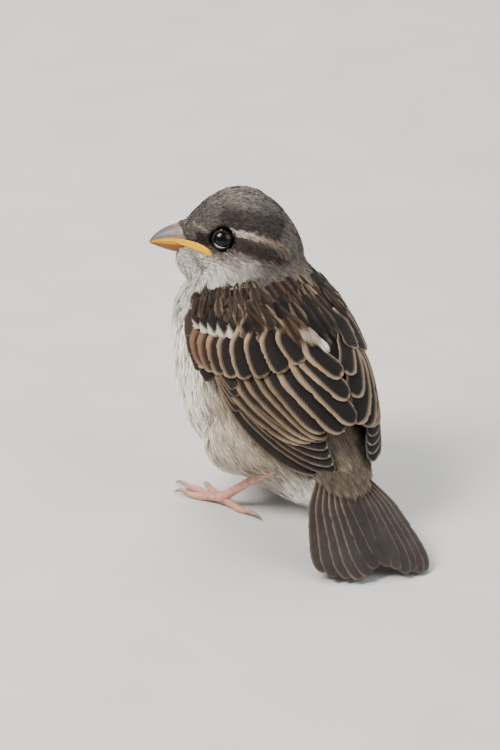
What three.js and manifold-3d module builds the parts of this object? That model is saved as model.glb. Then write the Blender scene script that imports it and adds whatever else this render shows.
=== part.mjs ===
// A juvenile house sparrow, life size, squatting on a flat floor with its head turned to its left.
// Millimetres. +X is the bird's right, +Y its heading, +Z up. The origin is under the middle of the
// bird's box, on the floor that its toes and the tips of its tail stand on.
import * as THREE from "three";
import { mergeVertices } from "three/addons/utils/BufferGeometryUtils.js";
import Module from "manifold-3d";

const wasm = await Module();
wasm.setup();
const { Manifold } = wasm;
const { degToRad, lerp, smoothstep } = THREE.MathUtils;

// ---- Driving sizes -------------------------------------------------------------------------------
const GAP = 0.3; // clearance between two touching nodes

// How finely the forms are faceted: rings along them and facets round them.
const TRUNK_MESH = [15, 20];
const NECK_MESH = [5, 16];
const HEAD_MESH = [11, 16];
const BILL_MESH = [8, 12];
const END_ROUNDNESS = 0.5; // how far a bar's end stands out, as a share of its radius

// The trunk, from the neck to the tail: points of the back and of the belly in the plane of symmetry,
// as [forward, up], the half width there, how far the middle has swung to the right, and by what share
// the lower half is narrower than the upper. NARROWING is where that begins and where it is complete,
// as heights from the middle (0) to the belly (1).
const NARROWING = [-0.7, 0.35];
const TRUNK = [
  { back: [-1, 61], belly: [11, 59.5], halfWidth: 5, swing: -1 },
  { back: [-5.5, 60], belly: [17, 55.5], halfWidth: 11.6, swing: -1.4 },
  { back: [-11, 55.2], belly: [22.4, 45], halfWidth: 16.2, swing: -1.5 },
  { back: [-18.4, 47], belly: [22.4, 31], halfWidth: 18, swing: -0.7 },
  { back: [-26, 37.6], belly: [19.4, 15.6], halfWidth: 19.2, swing: -0.2, narrow: 0.06 },
  { back: [-31.6, 27.3], belly: [8.2, 5], halfWidth: 17, swing: -0.2, narrow: 0.32 },
  { back: [-35.4, 20.6], belly: [-10, 2], halfWidth: 12, swing: -0.5, narrow: 0.42 },
  { back: [-39, 16.8], belly: [-25, 4], halfWidth: 9, swing: -2.4, narrow: 0.3 },
  { back: [-43.6, 14.2], belly: [-37, 7.6], halfWidth: 6.6, swing: -5.2, narrow: 0.1 },
];

// The surface that the folded wings' feathers lie on. It follows the trunk and leaves it at the rump.
const WING_SURFACE = [
  { back: [-3.8, 62], belly: [16, 57.5], halfWidth: 11.4, swing: -1.6 },
  { back: [-11, 56.5], belly: [23, 45], halfWidth: 17, swing: -2 },
  { back: [-19.6, 48.2], belly: [24.2, 31], halfWidth: 20.2, swing: -1.1 },
  { back: [-28, 39], belly: [17.3, 16], halfWidth: 19.6, swing: -0.6 },
  { back: [-34.5, 28.5], belly: [4.7, 6.6], halfWidth: 15.9, swing: -0.5 },
  { back: [-38.5, 20], belly: [-14, 4.8], halfWidth: 11.3, swing: -0.3 },
  { back: [-42, 13.5], belly: [-26, 6.2], halfWidth: 9 },
  { back: [-48, 9], belly: [-36, 4], halfWidth: 7 },
];

const NECK = [
  { back: [-1, 50], belly: [12, 48], halfWidth: 7 },
  { back: [-6.6, 56.5], belly: [18.6, 51.5], halfWidth: 13.4, swing: -0.4 },
  { back: [-5, 62], belly: [16.6, 58], halfWidth: 12, swing: -1.2 },
  { back: [-1, 67], belly: [12, 65], halfWidth: 8, swing: -1.4 },
];
// The planes that part head from neck and neck from trunk, by two points in the plane of symmetry.
const HEAD_CUT = [[19, 53], [-6.5, 61.5]];
const TRUNK_CUT = [[22, 47.5], [-9, 57.5]];

// The head in its own frame: y towards the bill, z towards the crown, origin between the ears.
const HEAD_PLACE = [-1.5, 6.1, 64.7];
const HEAD_TURN = 52; // degrees to the bird's left
const HEAD_NOD = -2; // degrees, bill up
const HEAD_TILT = 9; // degrees, left eye up
const HEAD = [
  { y: 16.9, top: -2.2, bottom: -5.4, halfWidth: 1.8 },
  { y: 16.2, top: 0.8, bottom: -7.4, halfWidth: 3.4 },
  { y: 15, top: 3.4, bottom: -9.4, halfWidth: 5.0 },
  { y: 12.2, top: 6.3, bottom: -11.2, halfWidth: 6.9 },
  { y: 8.4, top: 9.6, bottom: -12.2, halfWidth: 9.2 },
  { y: 4, top: 11.8, bottom: -12.4, halfWidth: 10.9 },
  { y: 0, top: 12.3, bottom: -12.4, halfWidth: 11.8 },
  { y: -4.5, top: 10.7, bottom: -12.2, halfWidth: 12 },
  { y: -9, top: 7, bottom: -11.8, halfWidth: 10.8 },
  { y: -12.6, top: 1.8, bottom: -10.6, halfWidth: 7.8 },
  { y: -14.4, top: -2.6, bottom: -8, halfWidth: 3.4 },
];
const HEAD_SQUARENESS = 0.9; // 1 for elliptical sections, less for fuller ones
const POLE = 0.3; // how far the ends of the head and of the bill stand out

const BILL = [
  { y: 10, top: 4.1, bottom: -4.8, halfWidth: 3.9 },
  { y: 13, top: 4.1, bottom: -4.4, halfWidth: 3.8 },
  { y: 15.4, top: 3.5, bottom: -3.9, halfWidth: 3.3 },
  { y: 18, top: 2.7, bottom: -3.2, halfWidth: 2.5 },
  { y: 20.2, top: 1.6, bottom: -2.4, halfWidth: 1.6 },
  { y: 21.8, top: 0.3, bottom: -1.7, halfWidth: 0.9 },
  { y: 22.7, top: -0.7, bottom: -1.3, halfWidth: 0.3 },
];
const GAPE_LINE = [ // where the mandibles meet, from the tip to the corner of the mouth
  [24, -0.8], [21.5, -0.75], [18.2, -0.7], [15.4, -1.0], [13.2, -1.7], [10.4, -3.1], [8.2, -4.8],
];
const GAPE_RADIUS = 0.75; // the swollen yellow flange of a young bird
const GAPE_OUT = [3.5, 5.2, 7.2, 8.5]; // from the middle, at the last four points of the gape line
const GAPE_SWELLING = [0.6, 1, 1.1, 0.75]; // share of its radius at those points
const GAPE_RISE = 0.2; // for each millimetre outwards

const EYE = { y: 4.7, z: 0.5, radius: 2.9, out: 8.35 };

// Folded wing: places on the wing surface as [along 0 to 1, degrees round from the back], for the
// outermost and the innermost feather of each set, and how far the set stands off the surface.
const FEATHER_SHAPE = { base: 0.45, fullFrom: 0.45, tipFrom: 0.8, tipPower: 2.4, bluntest: 0.22, point: 0.3 };
const WING_PAD = { from: 0.075, to: 0.335, top: [20, 12], bottom: [70, 84], lift: 2, depth: 1.6 };
const FEATHER_SETS = [
  { count: 4, root: [[0.3, 68], [0.33, 56]], tip: [[0.735, 47], [0.66, 30]],
    halfWidth: [1.9, 2.4], lift: [0.1, 0.8] },
  { count: 3, root: [[0.3, 62], [0.34, 34]], tip: [[0.635, 38], [0.622, 22]],
    halfWidth: [2.5, 2.9], lift: [0.8, 1.5] },
  { count: 3, root: [[0.33, 27], [0.32, 13]], tip: [[0.604, 17], [0.51, 6]],
    halfWidth: [3.0, 2.8], lift: [1.7, 2.4] },
];
const COVERTS = { count: 6, root: [[0.22, 75], [0.28, 20]], tip: [[0.357, 75], [0.383, 18]],
  halfWidth: [2.2, 2.7], lift: [1.2, 2.2] };
const WING_FEATHER = 1; // thickness
// By how many degrees each wing is closed further over the tail, and where along it that begins and ends.
const WING_CLOSING = { left: 0, right: 28, from: 0.48, to: 0.78 };

// The tail: where it leaves the rump, its length, the half angles of its fan at the roots and at the
// tips, its swing to the left, how much more steeply it falls towards its tips, and how high they are.
const TAIL_FEATHER = 0.8; // thickness
const TAIL = { root: [-0.5, -24, 20.5], length: 44, rootFan: 22, halfFan: 13.5, swing: 20, count: 12,
  halfWidth: 3.6, stagger: 0.27, notch: 3, from: 0.34, droop: 1.25, tipHeight: 1.5 };

const LEGS = {
  left: { side: -1, hip: [-11, 0, 20], ankle: [-9.8, -19, 14.6], foot: [-14, -2, 2.1], turnOut: 2 },
  right: { side: 1, hip: [11, 0, 20], ankle: [9.8, -18, 14.2], foot: [12.8, 0, 2.1], turnOut: 8 },
};
const THIGH_RADII = [5, 8.3, 5.4, 1.7];
const KNEE = [2.2, 0, -1]; // outwards, forwards and upwards from midway between hip and ankle
const TARSUS_RADII = [1.3, 0.9, 1.2];
const TARSUS_PLACES = [0.1, 0.5, 1]; // of those radii, from the ankle (0) to the foot (1)
const TOES = [ // degrees from the foot's heading, length of the toe and of its claw
  { name: "inner", angle: -20, length: 9.5, claw: 4.2 },
  { name: "middle", angle: 0, length: 13, claw: 4.8 },
  { name: "outer", angle: 18, length: 9.5, claw: 4.2 },
  { name: "hind", angle: 180, length: 8, claw: 6 },
];
const TOE_BONES = [ // place along the toe, radius
  [0, 1.15], [0.33, 1.05], [0.62, 0.97], [1, 0.89],
];
const TOE_HEIGHT = [1.31, 0.82]; // of its middle line, at the foot and at the claw
const CLAW = { gap: 1.1, shorter: 1 }; // beyond the toe's last bone, and how much of its length that takes
const CLAW_BONES = [ // place along the claw, height of its middle line, radius
  [0, 0.9, 0.62], [0.4, 1.3, 0.55], [0.78, 1, 0.4], [1.08, 0.32, 0.28],
];
const FOOT_PAD = { radius: 1.75, flatness: 0.8, sunk: 0.6 };

// ---- Surfaces and solids -------------------------------------------------------------------------
const vector = (list) => new THREE.Vector3(...list);

// A smooth curve through rows of numbers: returns a function of 0..1 that gives the row there.
function through(rows) {
  const curves = [];
  for (let i = 0; i < rows[0].length; i += 3) {
    const points = rows.map((row) => new THREE.Vector3(row[i], row[i + 1] ?? 0, row[i + 2] ?? 0));
    curves.push(new THREE.CatmullRomCurve3(points, false, "catmullrom", 0.5));
  }
  return (t) => curves.flatMap((curve) => curve.getPoint(t).toArray());
}

// The point of a trunk-like surface at a place along it and an angle round it, lifted off it.
function bodySurface(stations) {
  const row = through(stations.map(({ back, belly, halfWidth, swing = 0, narrow = 0 }) =>
    [...back, ...belly, halfWidth, swing, narrow]));
  return (along, degrees, lift = 0) => {
    const [backY, backZ, bellyY, bellyZ, halfWidth, swing, narrow] = row(along);
    const angle = degToRad(degrees);
    const middle = new THREE.Vector3(swing, (backY + bellyY) / 2, (backZ + bellyZ) / 2);
    const up = new THREE.Vector3(0, (backY - bellyY) / 2, (backZ - bellyZ) / 2);
    const halfHeight = up.length();
    up.normalize();
    const lower = smoothstep(-Math.cos(angle), ...NARROWING);
    const grownWidth = halfWidth * (1 - narrow * lower) + lift;
    const grownHeight = halfHeight + lift;
    return middle
      .addScaledVector(up, grownHeight * Math.cos(angle))
      .add(new THREE.Vector3(-grownWidth * Math.sin(angle), 0, 0));
  };
}

// A closed geometry from rings of points, with a pole at each end.
function closed(rings, firstPole, lastPole) {
  const facets = rings[0].length;
  const points = [firstPole, ...rings.flat(), lastPole];
  const last = points.length - 1;
  const at = (ring, facet) => 1 + ring * facets + (facet % facets);
  const faces = [];
  for (let j = 0; j < facets; j++) {
    faces.push(0, at(0, j + 1), at(0, j));
    faces.push(last, at(rings.length - 1, j), at(rings.length - 1, j + 1));
    for (let i = 0; i + 1 < rings.length; i++) {
      faces.push(at(i, j), at(i, j + 1), at(i + 1, j + 1));
      faces.push(at(i, j), at(i + 1, j + 1), at(i + 1, j));
    }
  }
  const geometry = new THREE.BufferGeometry().setFromPoints(points);
  geometry.setIndex(faces);
  return geometry;
}

// A geometry as a manifold solid, turned the right way out.
function solid(geometry) {
  const bare = geometry.clone();
  bare.deleteAttribute("normal");
  bare.deleteAttribute("uv");
  const merged = mergeVertices(bare, 1e-4);
  const triVerts = new Uint32Array(merged.index.array);
  const mesh = () => new wasm.Mesh({
    numProp: 3, vertProperties: merged.attributes.position.array, triVerts,
  });
  const made = new Manifold(mesh());
  if (made.volume() > 0) return made;
  triVerts.reverse();
  return new Manifold(mesh());
}

// A body part lofted through its stations, grown by a clearance where it cuts its neighbour.
function bodySolid(stations, [ringCount, facets], grow = 0) {
  const surface = bodySurface(stations);
  const rings = [];
  for (let i = 0; i < ringCount; i++) {
    const along = i / (ringCount - 1);
    rings.push(Array.from({ length: facets }, (_, j) => surface(along, (360 * j) / facets, grow)));
  }
  return solid(closed(rings, middleOf(rings[0]), middleOf(rings[ringCount - 1])));
}

function middleOf(ring) {
  return ring.reduce((sum, p) => sum.add(p), new THREE.Vector3()).divideScalar(ring.length);
}

// A head-like loft: upright elliptical sections at places along y.
function headSolid(stations, [ringCount, facets], grow = 0, squareness = 1) {
  const row = through(stations.map((s) => [s.y, s.top, s.bottom, s.halfWidth]));
  const rings = [];
  for (let i = 0; i < ringCount; i++) {
    const [y, top, bottom, halfWidth] = row(i / (ringCount - 1));
    const middle = (top + bottom) / 2;
    const halfHeight = (top - bottom) / 2 + grow;
    rings.push(Array.from({ length: facets }, (_, j) => {
      const angle = (2 * Math.PI * j) / facets;
      const c = Math.cos(angle);
      const s = Math.sin(angle);
      const across = Math.sign(c) * Math.abs(c) ** squareness;
      return new THREE.Vector3((halfWidth + grow) * across, y, middle + halfHeight * s);
    }));
  }
  const first = middleOf(rings[0]);
  const last = middleOf(rings[ringCount - 1]);
  const step = Math.sign(first.y - last.y) * (POLE + grow);
  first.y += step;
  last.y -= step;
  return solid(closed(rings, first, last));
}

// A round bar along points with a radius at each, such as a toe, a tarsus or a claw.
function barSolid(points, radii, { steps = 8, facets = 8, grow = 0 } = {}) {
  const curve = new THREE.CatmullRomCurve3(points.map(vector), false, "centripetal");
  const radiusAt = through(radii.map((r) => [r, 0, 0]));
  const rings = [];
  const side = new THREE.Vector3();
  const up = new THREE.Vector3();
  for (let i = 0; i <= steps; i++) {
    const t = i / steps;
    const middle = curve.getPoint(t);
    const ahead = curve.getTangent(t);
    side.crossVectors(ahead, Math.abs(ahead.z) > 0.9 ? vector([0, 1, 0]) : vector([0, 0, 1])).normalize();
    up.crossVectors(side, ahead);
    const radius = radiusAt(t)[0] + grow;
    rings.push(Array.from({ length: facets }, (_, j) => {
      const angle = (2 * Math.PI * (j + 0.5)) / facets;
      return middle.clone()
        .addScaledVector(side, radius * Math.cos(angle))
        .addScaledVector(up, radius * Math.sin(angle));
    }));
  }
  const first = curve.getPoint(0).addScaledVector(curve.getTangent(0), -END_ROUNDNESS * radii[0] - grow);
  const last = curve.getPoint(1).addScaledVector(curve.getTangent(1), END_ROUNDNESS * radii.at(-1) + grow);
  return solid(closed(rings, first, last));
}

// How wide a feather is along its length, as a share of its widest.
function vane(t) {
  const { base, fullFrom, tipFrom, tipPower, bluntest } = FEATHER_SHAPE;
  const width = lerp(base, 1, Math.min(1, t / fullFrom));
  const inTip = Math.max(0, (t - tipFrom) / (1 - tipFrom));
  return width * Math.max(Math.sqrt(Math.max(0, 1 - inTip ** tipPower)), bluntest);
}

// A feather as a thin blade that lies on a surface, from a root to a tip given in its coordinates.
function bladeSolid(surface, root, tip, halfWidth, lift, thickness, steps = 8) {
  const step = 0.01;
  const middleAt = (t, offset) => surface(lerp(root[0], tip[0], t), lerp(root[1], tip[1], t), offset);
  const rings = [];
  for (let i = 0; i <= steps; i++) {
    const t = i / steps;
    const along = lerp(root[0], tip[0], t);
    const around = lerp(root[1], tip[1], t);
    const normal = surface(along, around, 1).sub(surface(along, around, 0)).normalize();
    const ahead = middleAt(t + step, 0).sub(middleAt(t - step, 0)).normalize();
    const side = new THREE.Vector3().crossVectors(normal, ahead).normalize();
    const half = halfWidth * vane(t);
    const middle = middleAt(t, lift);
    const corners = [[-1, -0.5], [1, -0.5], [1, 0.5], [-1, 0.5]];
    rings.push(corners.map(([across, high]) => middle.clone()
      .addScaledVector(side, across * half)
      .addScaledVector(normal, high * thickness)));
  }
  const tipPoint = middleOf(rings[steps]);
  tipPoint.add(tipPoint.clone().sub(middleOf(rings[steps - 1])).multiplyScalar(FEATHER_SHAPE.point));
  return solid(closed(rings, middleOf(rings[0]), tipPoint));
}

const joined = (solids) => solids.reduce((whole, next) => whole.add(next));
const mix = (pair, t) => pair[0].map((from, k) => lerp(from, pair[1][k], t));

// ---- The pieces ----------------------------------------------------------------------------------
const COLOURS = {
  belly: 0xc9c2b6, head: 0x7f746a, wing: 0x5a4436, flight: 0x3f332b, tail: 0x5b4a3d,
  billUpper: 0x77666a, billLower: 0xd9a02e, gape: 0xf2c21c, eye: 0x0b0908, leg: 0xc98f80, claw: 0x9b8064,
};
const bird = new THREE.Group();

function addNode(name, shape, colour, roughness = 0.8) {
  const { vertProperties, triVerts, numProp } = shape.getMesh();
  const geometry = new THREE.BufferGeometry();
  geometry.setAttribute("position", new THREE.InterleavedBufferAttribute(
    new THREE.InterleavedBuffer(vertProperties, numProp), 3, 0));
  geometry.setIndex(new THREE.BufferAttribute(triVerts, 1));
  const flat = geometry.toNonIndexed();
  flat.computeVertexNormals();
  const finish = new THREE.MeshStandardMaterial({ color: colour, roughness, metalness: 0 });
  const mesh = new THREE.Mesh(flat, finish);
  mesh.name = name;
  bird.add(mesh);
}

const headMatrix = new THREE.Matrix4()
  .makeTranslation(...HEAD_PLACE)
  .multiply(new THREE.Matrix4().makeRotationZ(degToRad(HEAD_TURN)))
  .multiply(new THREE.Matrix4().makeRotationX(degToRad(HEAD_NOD)))
  .multiply(new THREE.Matrix4().makeRotationY(degToRad(HEAD_TILT)));
const placeHead = (shape) => shape.transform(headMatrix.toArray());

// Trunk, neck and head are one body, parted by thin cuts.
const CUT_REACH = 120;
function halfSpace([front, back], above, shift) {
  const slope = Math.atan2(front[1] - back[1], front[0] - back[0]);
  const box = new THREE.BoxGeometry(CUT_REACH, CUT_REACH, CUT_REACH);
  box.translate(0, 0, (above ? 1 : -1) * (CUT_REACH / 2) + shift);
  box.rotateX(slope).translate(0, (front[0] + back[0]) / 2, (front[1] + back[1]) / 2);
  return solid(box);
}

const makeBody = (grow) => joined([
  bodySolid(TRUNK, TRUNK_MESH, grow),
  bodySolid(NECK, NECK_MESH, grow),
  placeHead(headSolid(HEAD, HEAD_MESH, grow, HEAD_SQUARENESS)),
]);
const wholeBody = makeBody(0);
const grownBody = makeBody(GAP);
const trunk = wholeBody.intersect(halfSpace(TRUNK_CUT, false, -GAP / 2));
const neck = wholeBody.intersect(halfSpace(TRUNK_CUT, true, GAP / 2))
  .intersect(halfSpace(HEAD_CUT, false, -GAP / 2));
const head = wholeBody.intersect(halfSpace(HEAD_CUT, true, GAP / 2));

// The mandibles are one loft, parted along the gape line by a slab that holds all that is above it.
const SLAB = { width: 12, back: 2, front: 26, top: 9, steps: 9 };
const SIDEWAYS = new THREE.Matrix4().set(0, 0, 1, -SLAB.width / 2, 1, 0, 0, 0, 0, 1, 0, 0, 0, 0, 0, 1);

function makeBill() {
  const whole = headSolid(BILL, BILL_MESH);
  const gapeLine = new THREE.SplineCurve(GAPE_LINE.map(([y, z]) => new THREE.Vector2(y, z)));
  const line = gapeLine.getPoints(SLAB.steps);
  const slabAbove = (offset) => {
    const outline = new THREE.Shape([
      ...line.map((p) => new THREE.Vector2(p.x, p.y + offset)),
      new THREE.Vector2(line.at(-1).x - SLAB.back, SLAB.top),
      new THREE.Vector2(SLAB.front, SLAB.top),
    ]);
    const slab = new THREE.ExtrudeGeometry(outline, { depth: SLAB.width, bevelEnabled: false });
    return solid(slab.applyMatrix4(SIDEWAYS));
  };
  const upper = whole.intersect(slabAbove(GAP / 2));
  const lower = whole.subtract(slabAbove(-GAP / 2));
  const flange = (side, grow) => {
    const edge = GAPE_LINE.slice(-GAPE_OUT.length).map(([y, z], i) =>
      [side * GAPE_OUT[i], y, z + GAPE_RISE * GAPE_OUT[i]]);
    const radii = GAPE_SWELLING.map((share) => share * GAPE_RADIUS);
    return barSolid(edge, radii, { steps: 5, facets: 6, grow });
  };
  return { upper, lower, flange };
}

const bill = makeBill();
const eyeBall = (side, grow) => solid(new THREE.SphereGeometry(EYE.radius + grow, 11, 7)
  .translate(side * EYE.out, EYE.y, EYE.z));
const flangeCutters = joined([-1, 1].map((side) => bill.flange(side, GAP)));
const headCutters = joined([
  headSolid(BILL, BILL_MESH, GAP), flangeCutters, eyeBall(-1, GAP), eyeBall(1, GAP),
]);
addNode("head", head.subtract(placeHead(headCutters)), COLOURS.head);
addNode("neck", neck, COLOURS.head);
addNode("bill_upper", placeHead(bill.upper.subtract(flangeCutters)), COLOURS.billUpper, 0.4);
addNode("bill_lower", placeHead(bill.lower.subtract(flangeCutters)), COLOURS.billLower, 0.4);
for (const [name, side] of [["left", -1], ["right", 1]]) {
  addNode(`gape_${name}`, placeHead(bill.flange(side, 0)), COLOURS.gape, 0.4);
  addNode(`eye_${name}`, placeHead(eyeBall(side, 0)), COLOURS.eye, 0.05);
}

// Wings: a pad of small coverts, then the feathers that show below it.
const wingPoint = bodySurface(WING_SURFACE);
const wingSurface = (name, side) => (along, degrees, lift) => {
  const closed = WING_CLOSING[name] * smoothstep(along, WING_CLOSING.from, WING_CLOSING.to);
  return wingPoint(along, -side * (degrees - closed), lift);
};

function wingPad(surface, grow) {
  const rows = 7;
  const columns = 7;
  const cornerShare = 0.7; // width of its first and last rows
  const edgeLift = 0.35; // and their thickness
  const inner = -WING_PAD.depth - grow;
  const rings = [];
  for (let i = 1; i < rows; i++) {
    const a = i / rows;
    const along = lerp(WING_PAD.from, WING_PAD.to, a);
    const top = lerp(...WING_PAD.top, a) - grow * 1.5;
    const bottom = lerp(...WING_PAD.bottom, a) + grow * 1.5;
    const ends = Math.sqrt(1 - Math.abs(2 * a - 1) ** 4);
    const ring = [];
    for (let j = 0; j < 2 * columns; j++) {
      const outside = j <= columns;
      const b = outside ? j / columns : 2 - j / columns;
      const middle = (top + bottom) / 2;
      const around = middle + (b - 0.5) * (bottom - top) * lerp(cornerShare, 1, ends);
      const edges = Math.sqrt(1 - Math.abs(2 * b - 1) ** 8);
      const raised = (WING_PAD.lift + grow - inner) * edges * lerp(edgeLift, 1, ends);
      const lift = outside ? inner + raised : inner;
      ring.push(surface(along, around, lift));
    }
    rings.push(ring);
  }
  return solid(closed(rings, middleOf(rings[0]), middleOf(rings.at(-1))));
}

function featherSet(surface, set, steps, grow = 0) {
  return Array.from({ length: set.count }, (_, i) => {
    const t = set.count > 1 ? i / (set.count - 1) : 0;
    return bladeSolid(surface, mix(set.root, t), mix(set.tip, t),
      lerp(...set.halfWidth, t), lerp(...set.lift, t), WING_FEATHER + 2 * grow, steps);
  });
}

for (const [name, side] of [["left", -1], ["right", 1]]) {
  const surface = wingSurface(name, side);
  const wider = { ...COVERTS, halfWidth: COVERTS.halfWidth.map((w) => w + GAP) };
  const pad = joined([wingPad(surface, 0), ...featherSet(surface, COVERTS, 3)]);
  const padCutter = joined([wingPad(surface, GAP), ...featherSet(surface, wider, 3, GAP)]);
  const flight = joined(FEATHER_SETS.flatMap((set) => featherSet(surface, set, 4)));
  addNode(`wing_${name}`, pad.subtract(grownBody), COLOURS.wing);
  addNode(`flight_feathers_${name}`, flight.subtract(grownBody).subtract(padCutter), COLOURS.flight);
}

// Tail: a fan of twelve feathers that slopes down to the floor, where its outer tips rest.
function tailPoint(along, degrees, lift = 0) {
  const heading = degToRad(TAIL.swing + degrees);
  const distance = along * TAIL.length;
  const fall = (TAIL.root[2] - TAIL.tipHeight) * along ** TAIL.droop;
  return new THREE.Vector3(
    TAIL.root[0] - distance * Math.sin(heading),
    TAIL.root[1] - distance * Math.cos(heading),
    TAIL.root[2] - fall + lift);
}

function tailFeathers() {
  const half = (TAIL.count - 1) / 2;
  return Array.from({ length: TAIL.count }, (_, i) => {
    const fromMiddle = Math.abs(i - half);
    const share = (i - half) / half;
    const reach = 1 - (TAIL.notch / TAIL.length) * (1 - fromMiddle / half) ** 2;
    return bladeSolid(tailPoint, [TAIL.from, share * TAIL.rootFan], [reach, share * TAIL.halfFan],
      TAIL.halfWidth, TAIL.stagger * (half - fromMiddle), TAIL_FEATHER, 4);
  });
}

addNode("tail", joined(tailFeathers()).subtract(grownBody), COLOURS.tail);
addNode("trunk", trunk, COLOURS.belly);

// Legs: a feathered thigh, a bare tarsus, four toes and their claws.
function makeToe(leg, toe) {
  const angle = degToRad(leg.turnOut + toe.angle) * -leg.side;
  const ahead = vector([-Math.sin(angle), Math.cos(angle), 0]);
  const at = (distance, height) => vector(leg.foot).addScaledVector(ahead, distance).setZ(height).toArray();
  const bones = TOE_BONES.map(([t]) => at(t * toe.length, lerp(...TOE_HEIGHT, t)));
  const hook = CLAW_BONES.map(([t, height]) =>
    at(toe.length + CLAW.gap + t * (toe.claw - CLAW.shorter), height));
  return {
    name: toe.name,
    body: barSolid(bones, TOE_BONES.map(([, radius]) => radius), { steps: 3, facets: 6 }),
    claw: barSolid(hook, CLAW_BONES.map(([, , radius]) => radius), { steps: 4, facets: 5 }),
  };
}

function makeLeg(name, leg) {
  const hip = vector(leg.hip);
  const ankle = vector(leg.ankle);
  const foot = vector(leg.foot);
  const [outwards, forwards, upwards] = KNEE;
  const knee = hip.lerp(ankle, 0.5).add(vector([leg.side * outwards, forwards, upwards])).toArray();
  const thigh = (grow) => barSolid([leg.hip, knee, leg.ankle], THIGH_RADII, { steps: 6, facets: 10, grow });
  const shank = TARSUS_PLACES.map((t) => ankle.clone().lerp(foot, t).toArray());
  const tarsus = (grow) => barSolid(shank, TARSUS_RADII, { steps: 4, facets: 6, grow });
  const toeParts = TOES.map((toe) => makeToe(leg, toe));
  const pad = solid(new THREE.SphereGeometry(FOOT_PAD.radius, 6, 4)
    .scale(1, 1, FOOT_PAD.flatness)
    .translate(...leg.foot)
    .translate(0, 0, -FOOT_PAD.sunk));
  const aboveFloor = solid(new THREE.BoxGeometry(80, 80, 40).translate(leg.foot[0], leg.foot[1], 20));
  const wholeFoot = joined([pad, ...toeParts.map((toe) => toe.body)]).intersect(aboveFloor);
  addNode(`thigh_${name}`, thigh(0).subtract(grownBody), COLOURS.belly);
  addNode(`tarsus_${name}`, tarsus(0).subtract(thigh(GAP)).subtract(grownBody), COLOURS.leg, 0.5);
  addNode(`foot_${name}`, wholeFoot.subtract(tarsus(GAP)), COLOURS.leg, 0.5);
  for (const toe of toeParts) {
    addNode(`claw_${name}_${toe.name}`, toe.claw.intersect(aboveFloor), COLOURS.claw, 0.35);
  }
}
for (const [name, leg] of Object.entries(LEGS)) makeLeg(name, leg);

// The origin goes under the middle of the bird's box, on the floor.
const box = new THREE.Box3().setFromObject(bird);
const centre = box.getCenter(new THREE.Vector3());
bird.position.set(-centre.x, -centre.y, -box.min.z);
const sparrow = new THREE.Group();
sparrow.add(bird);
sparrow.updateMatrixWorld(true);

export default sparrow;
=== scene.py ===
import math
from functools import partial

import bmesh
import bpy
import numpy as np
from mathutils import Matrix, Vector
from mathutils.bvhtree import BVHTree
from mathutils.kdtree import KDTree


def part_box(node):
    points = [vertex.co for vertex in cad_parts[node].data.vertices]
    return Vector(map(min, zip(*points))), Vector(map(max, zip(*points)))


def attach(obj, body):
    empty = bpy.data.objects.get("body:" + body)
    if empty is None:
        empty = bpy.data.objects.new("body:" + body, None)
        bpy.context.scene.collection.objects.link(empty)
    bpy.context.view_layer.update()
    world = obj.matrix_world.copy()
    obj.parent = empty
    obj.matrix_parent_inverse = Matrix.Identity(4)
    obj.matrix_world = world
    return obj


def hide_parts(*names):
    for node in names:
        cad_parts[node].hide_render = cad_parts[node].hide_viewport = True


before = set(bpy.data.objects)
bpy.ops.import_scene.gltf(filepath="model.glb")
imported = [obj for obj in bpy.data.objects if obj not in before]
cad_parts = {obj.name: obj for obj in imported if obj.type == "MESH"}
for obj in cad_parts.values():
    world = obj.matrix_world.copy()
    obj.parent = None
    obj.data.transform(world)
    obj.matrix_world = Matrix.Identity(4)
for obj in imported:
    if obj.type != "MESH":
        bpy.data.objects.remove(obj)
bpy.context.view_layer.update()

# A juvenile house sparrow. Sizes are in millimetres in the bird's own frame, +X its right, +Y its
# heading, +Z up, and place() turns them into metres in the row's frame.
MM = 0.001
SEED = 7
RNG = np.random.default_rng(SEED)

# ---- The forms that the solids have ----
# Back and belly points [forward, up], half width, swing of the middle, narrowing of the lower half.
TRUNK = [
    (-1, 61, 11, 59.5, 5, -1, 0),
    (-5.5, 60, 17, 55.5, 11.6, -1.4, 0),
    (-11, 55.2, 22.4, 45, 16.2, -1.5, 0),
    (-18.4, 47, 22.4, 31, 18, -0.7, 0),
    (-26, 37.6, 19.4, 15.6, 19.2, -0.2, 0.06),
    (-31.6, 27.3, 8.2, 5, 17, -0.2, 0.32),
    (-35.4, 20.6, -10, 2, 12, -0.5, 0.42),
    (-39, 16.8, -25, 4, 9, -2.4, 0.3),
    (-43.6, 14.2, -37, 7.6, 6.6, -5.2, 0.1),
]
WING = [
    (-3.8, 62, 16, 57.5, 11.4, -1.6, 0),
    (-11, 56.5, 23, 45, 17, -2, 0),
    (-19.6, 48.2, 24.2, 31, 20.2, -1.1, 0),
    (-28, 39, 17.3, 16, 19.6, -0.6, 0),
    (-34.5, 28.5, 4.7, 6.6, 15.9, -0.5, 0),
    (-38.5, 20, -14, 4.8, 11.3, -0.3, 0),
    (-42, 13.5, -26, 6.2, 9, 0, 0),
    (-48, 9, -36, 4, 7, 0, 0),
]
HEAD_PLACE = (-1.5, 6.1, 64.7)  # the middle of the head
HEAD_TURN, HEAD_NOD, HEAD_TILT = 52, -2, 9  # degrees
# Planes below the head and at the top of the back, each by two points [forward, up].
NECK_PLANE = ((19, 53), (-6.5, 61.5))
BACK_PLANE = ((22, 47.5), (-9, 57.5))
# In the head's own frame, +X its right, +Y towards the bill, +Z up.
EYE_Y, EYE_Z, EYE_OUT, EYE_RADIUS, EYE_OPENING = 4.7, 0.5, 8.35, 2.9, 1.88
LIDS_Y, LIDS_Z = 5.0, 0.7  # middle of the opening between the lids
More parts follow.
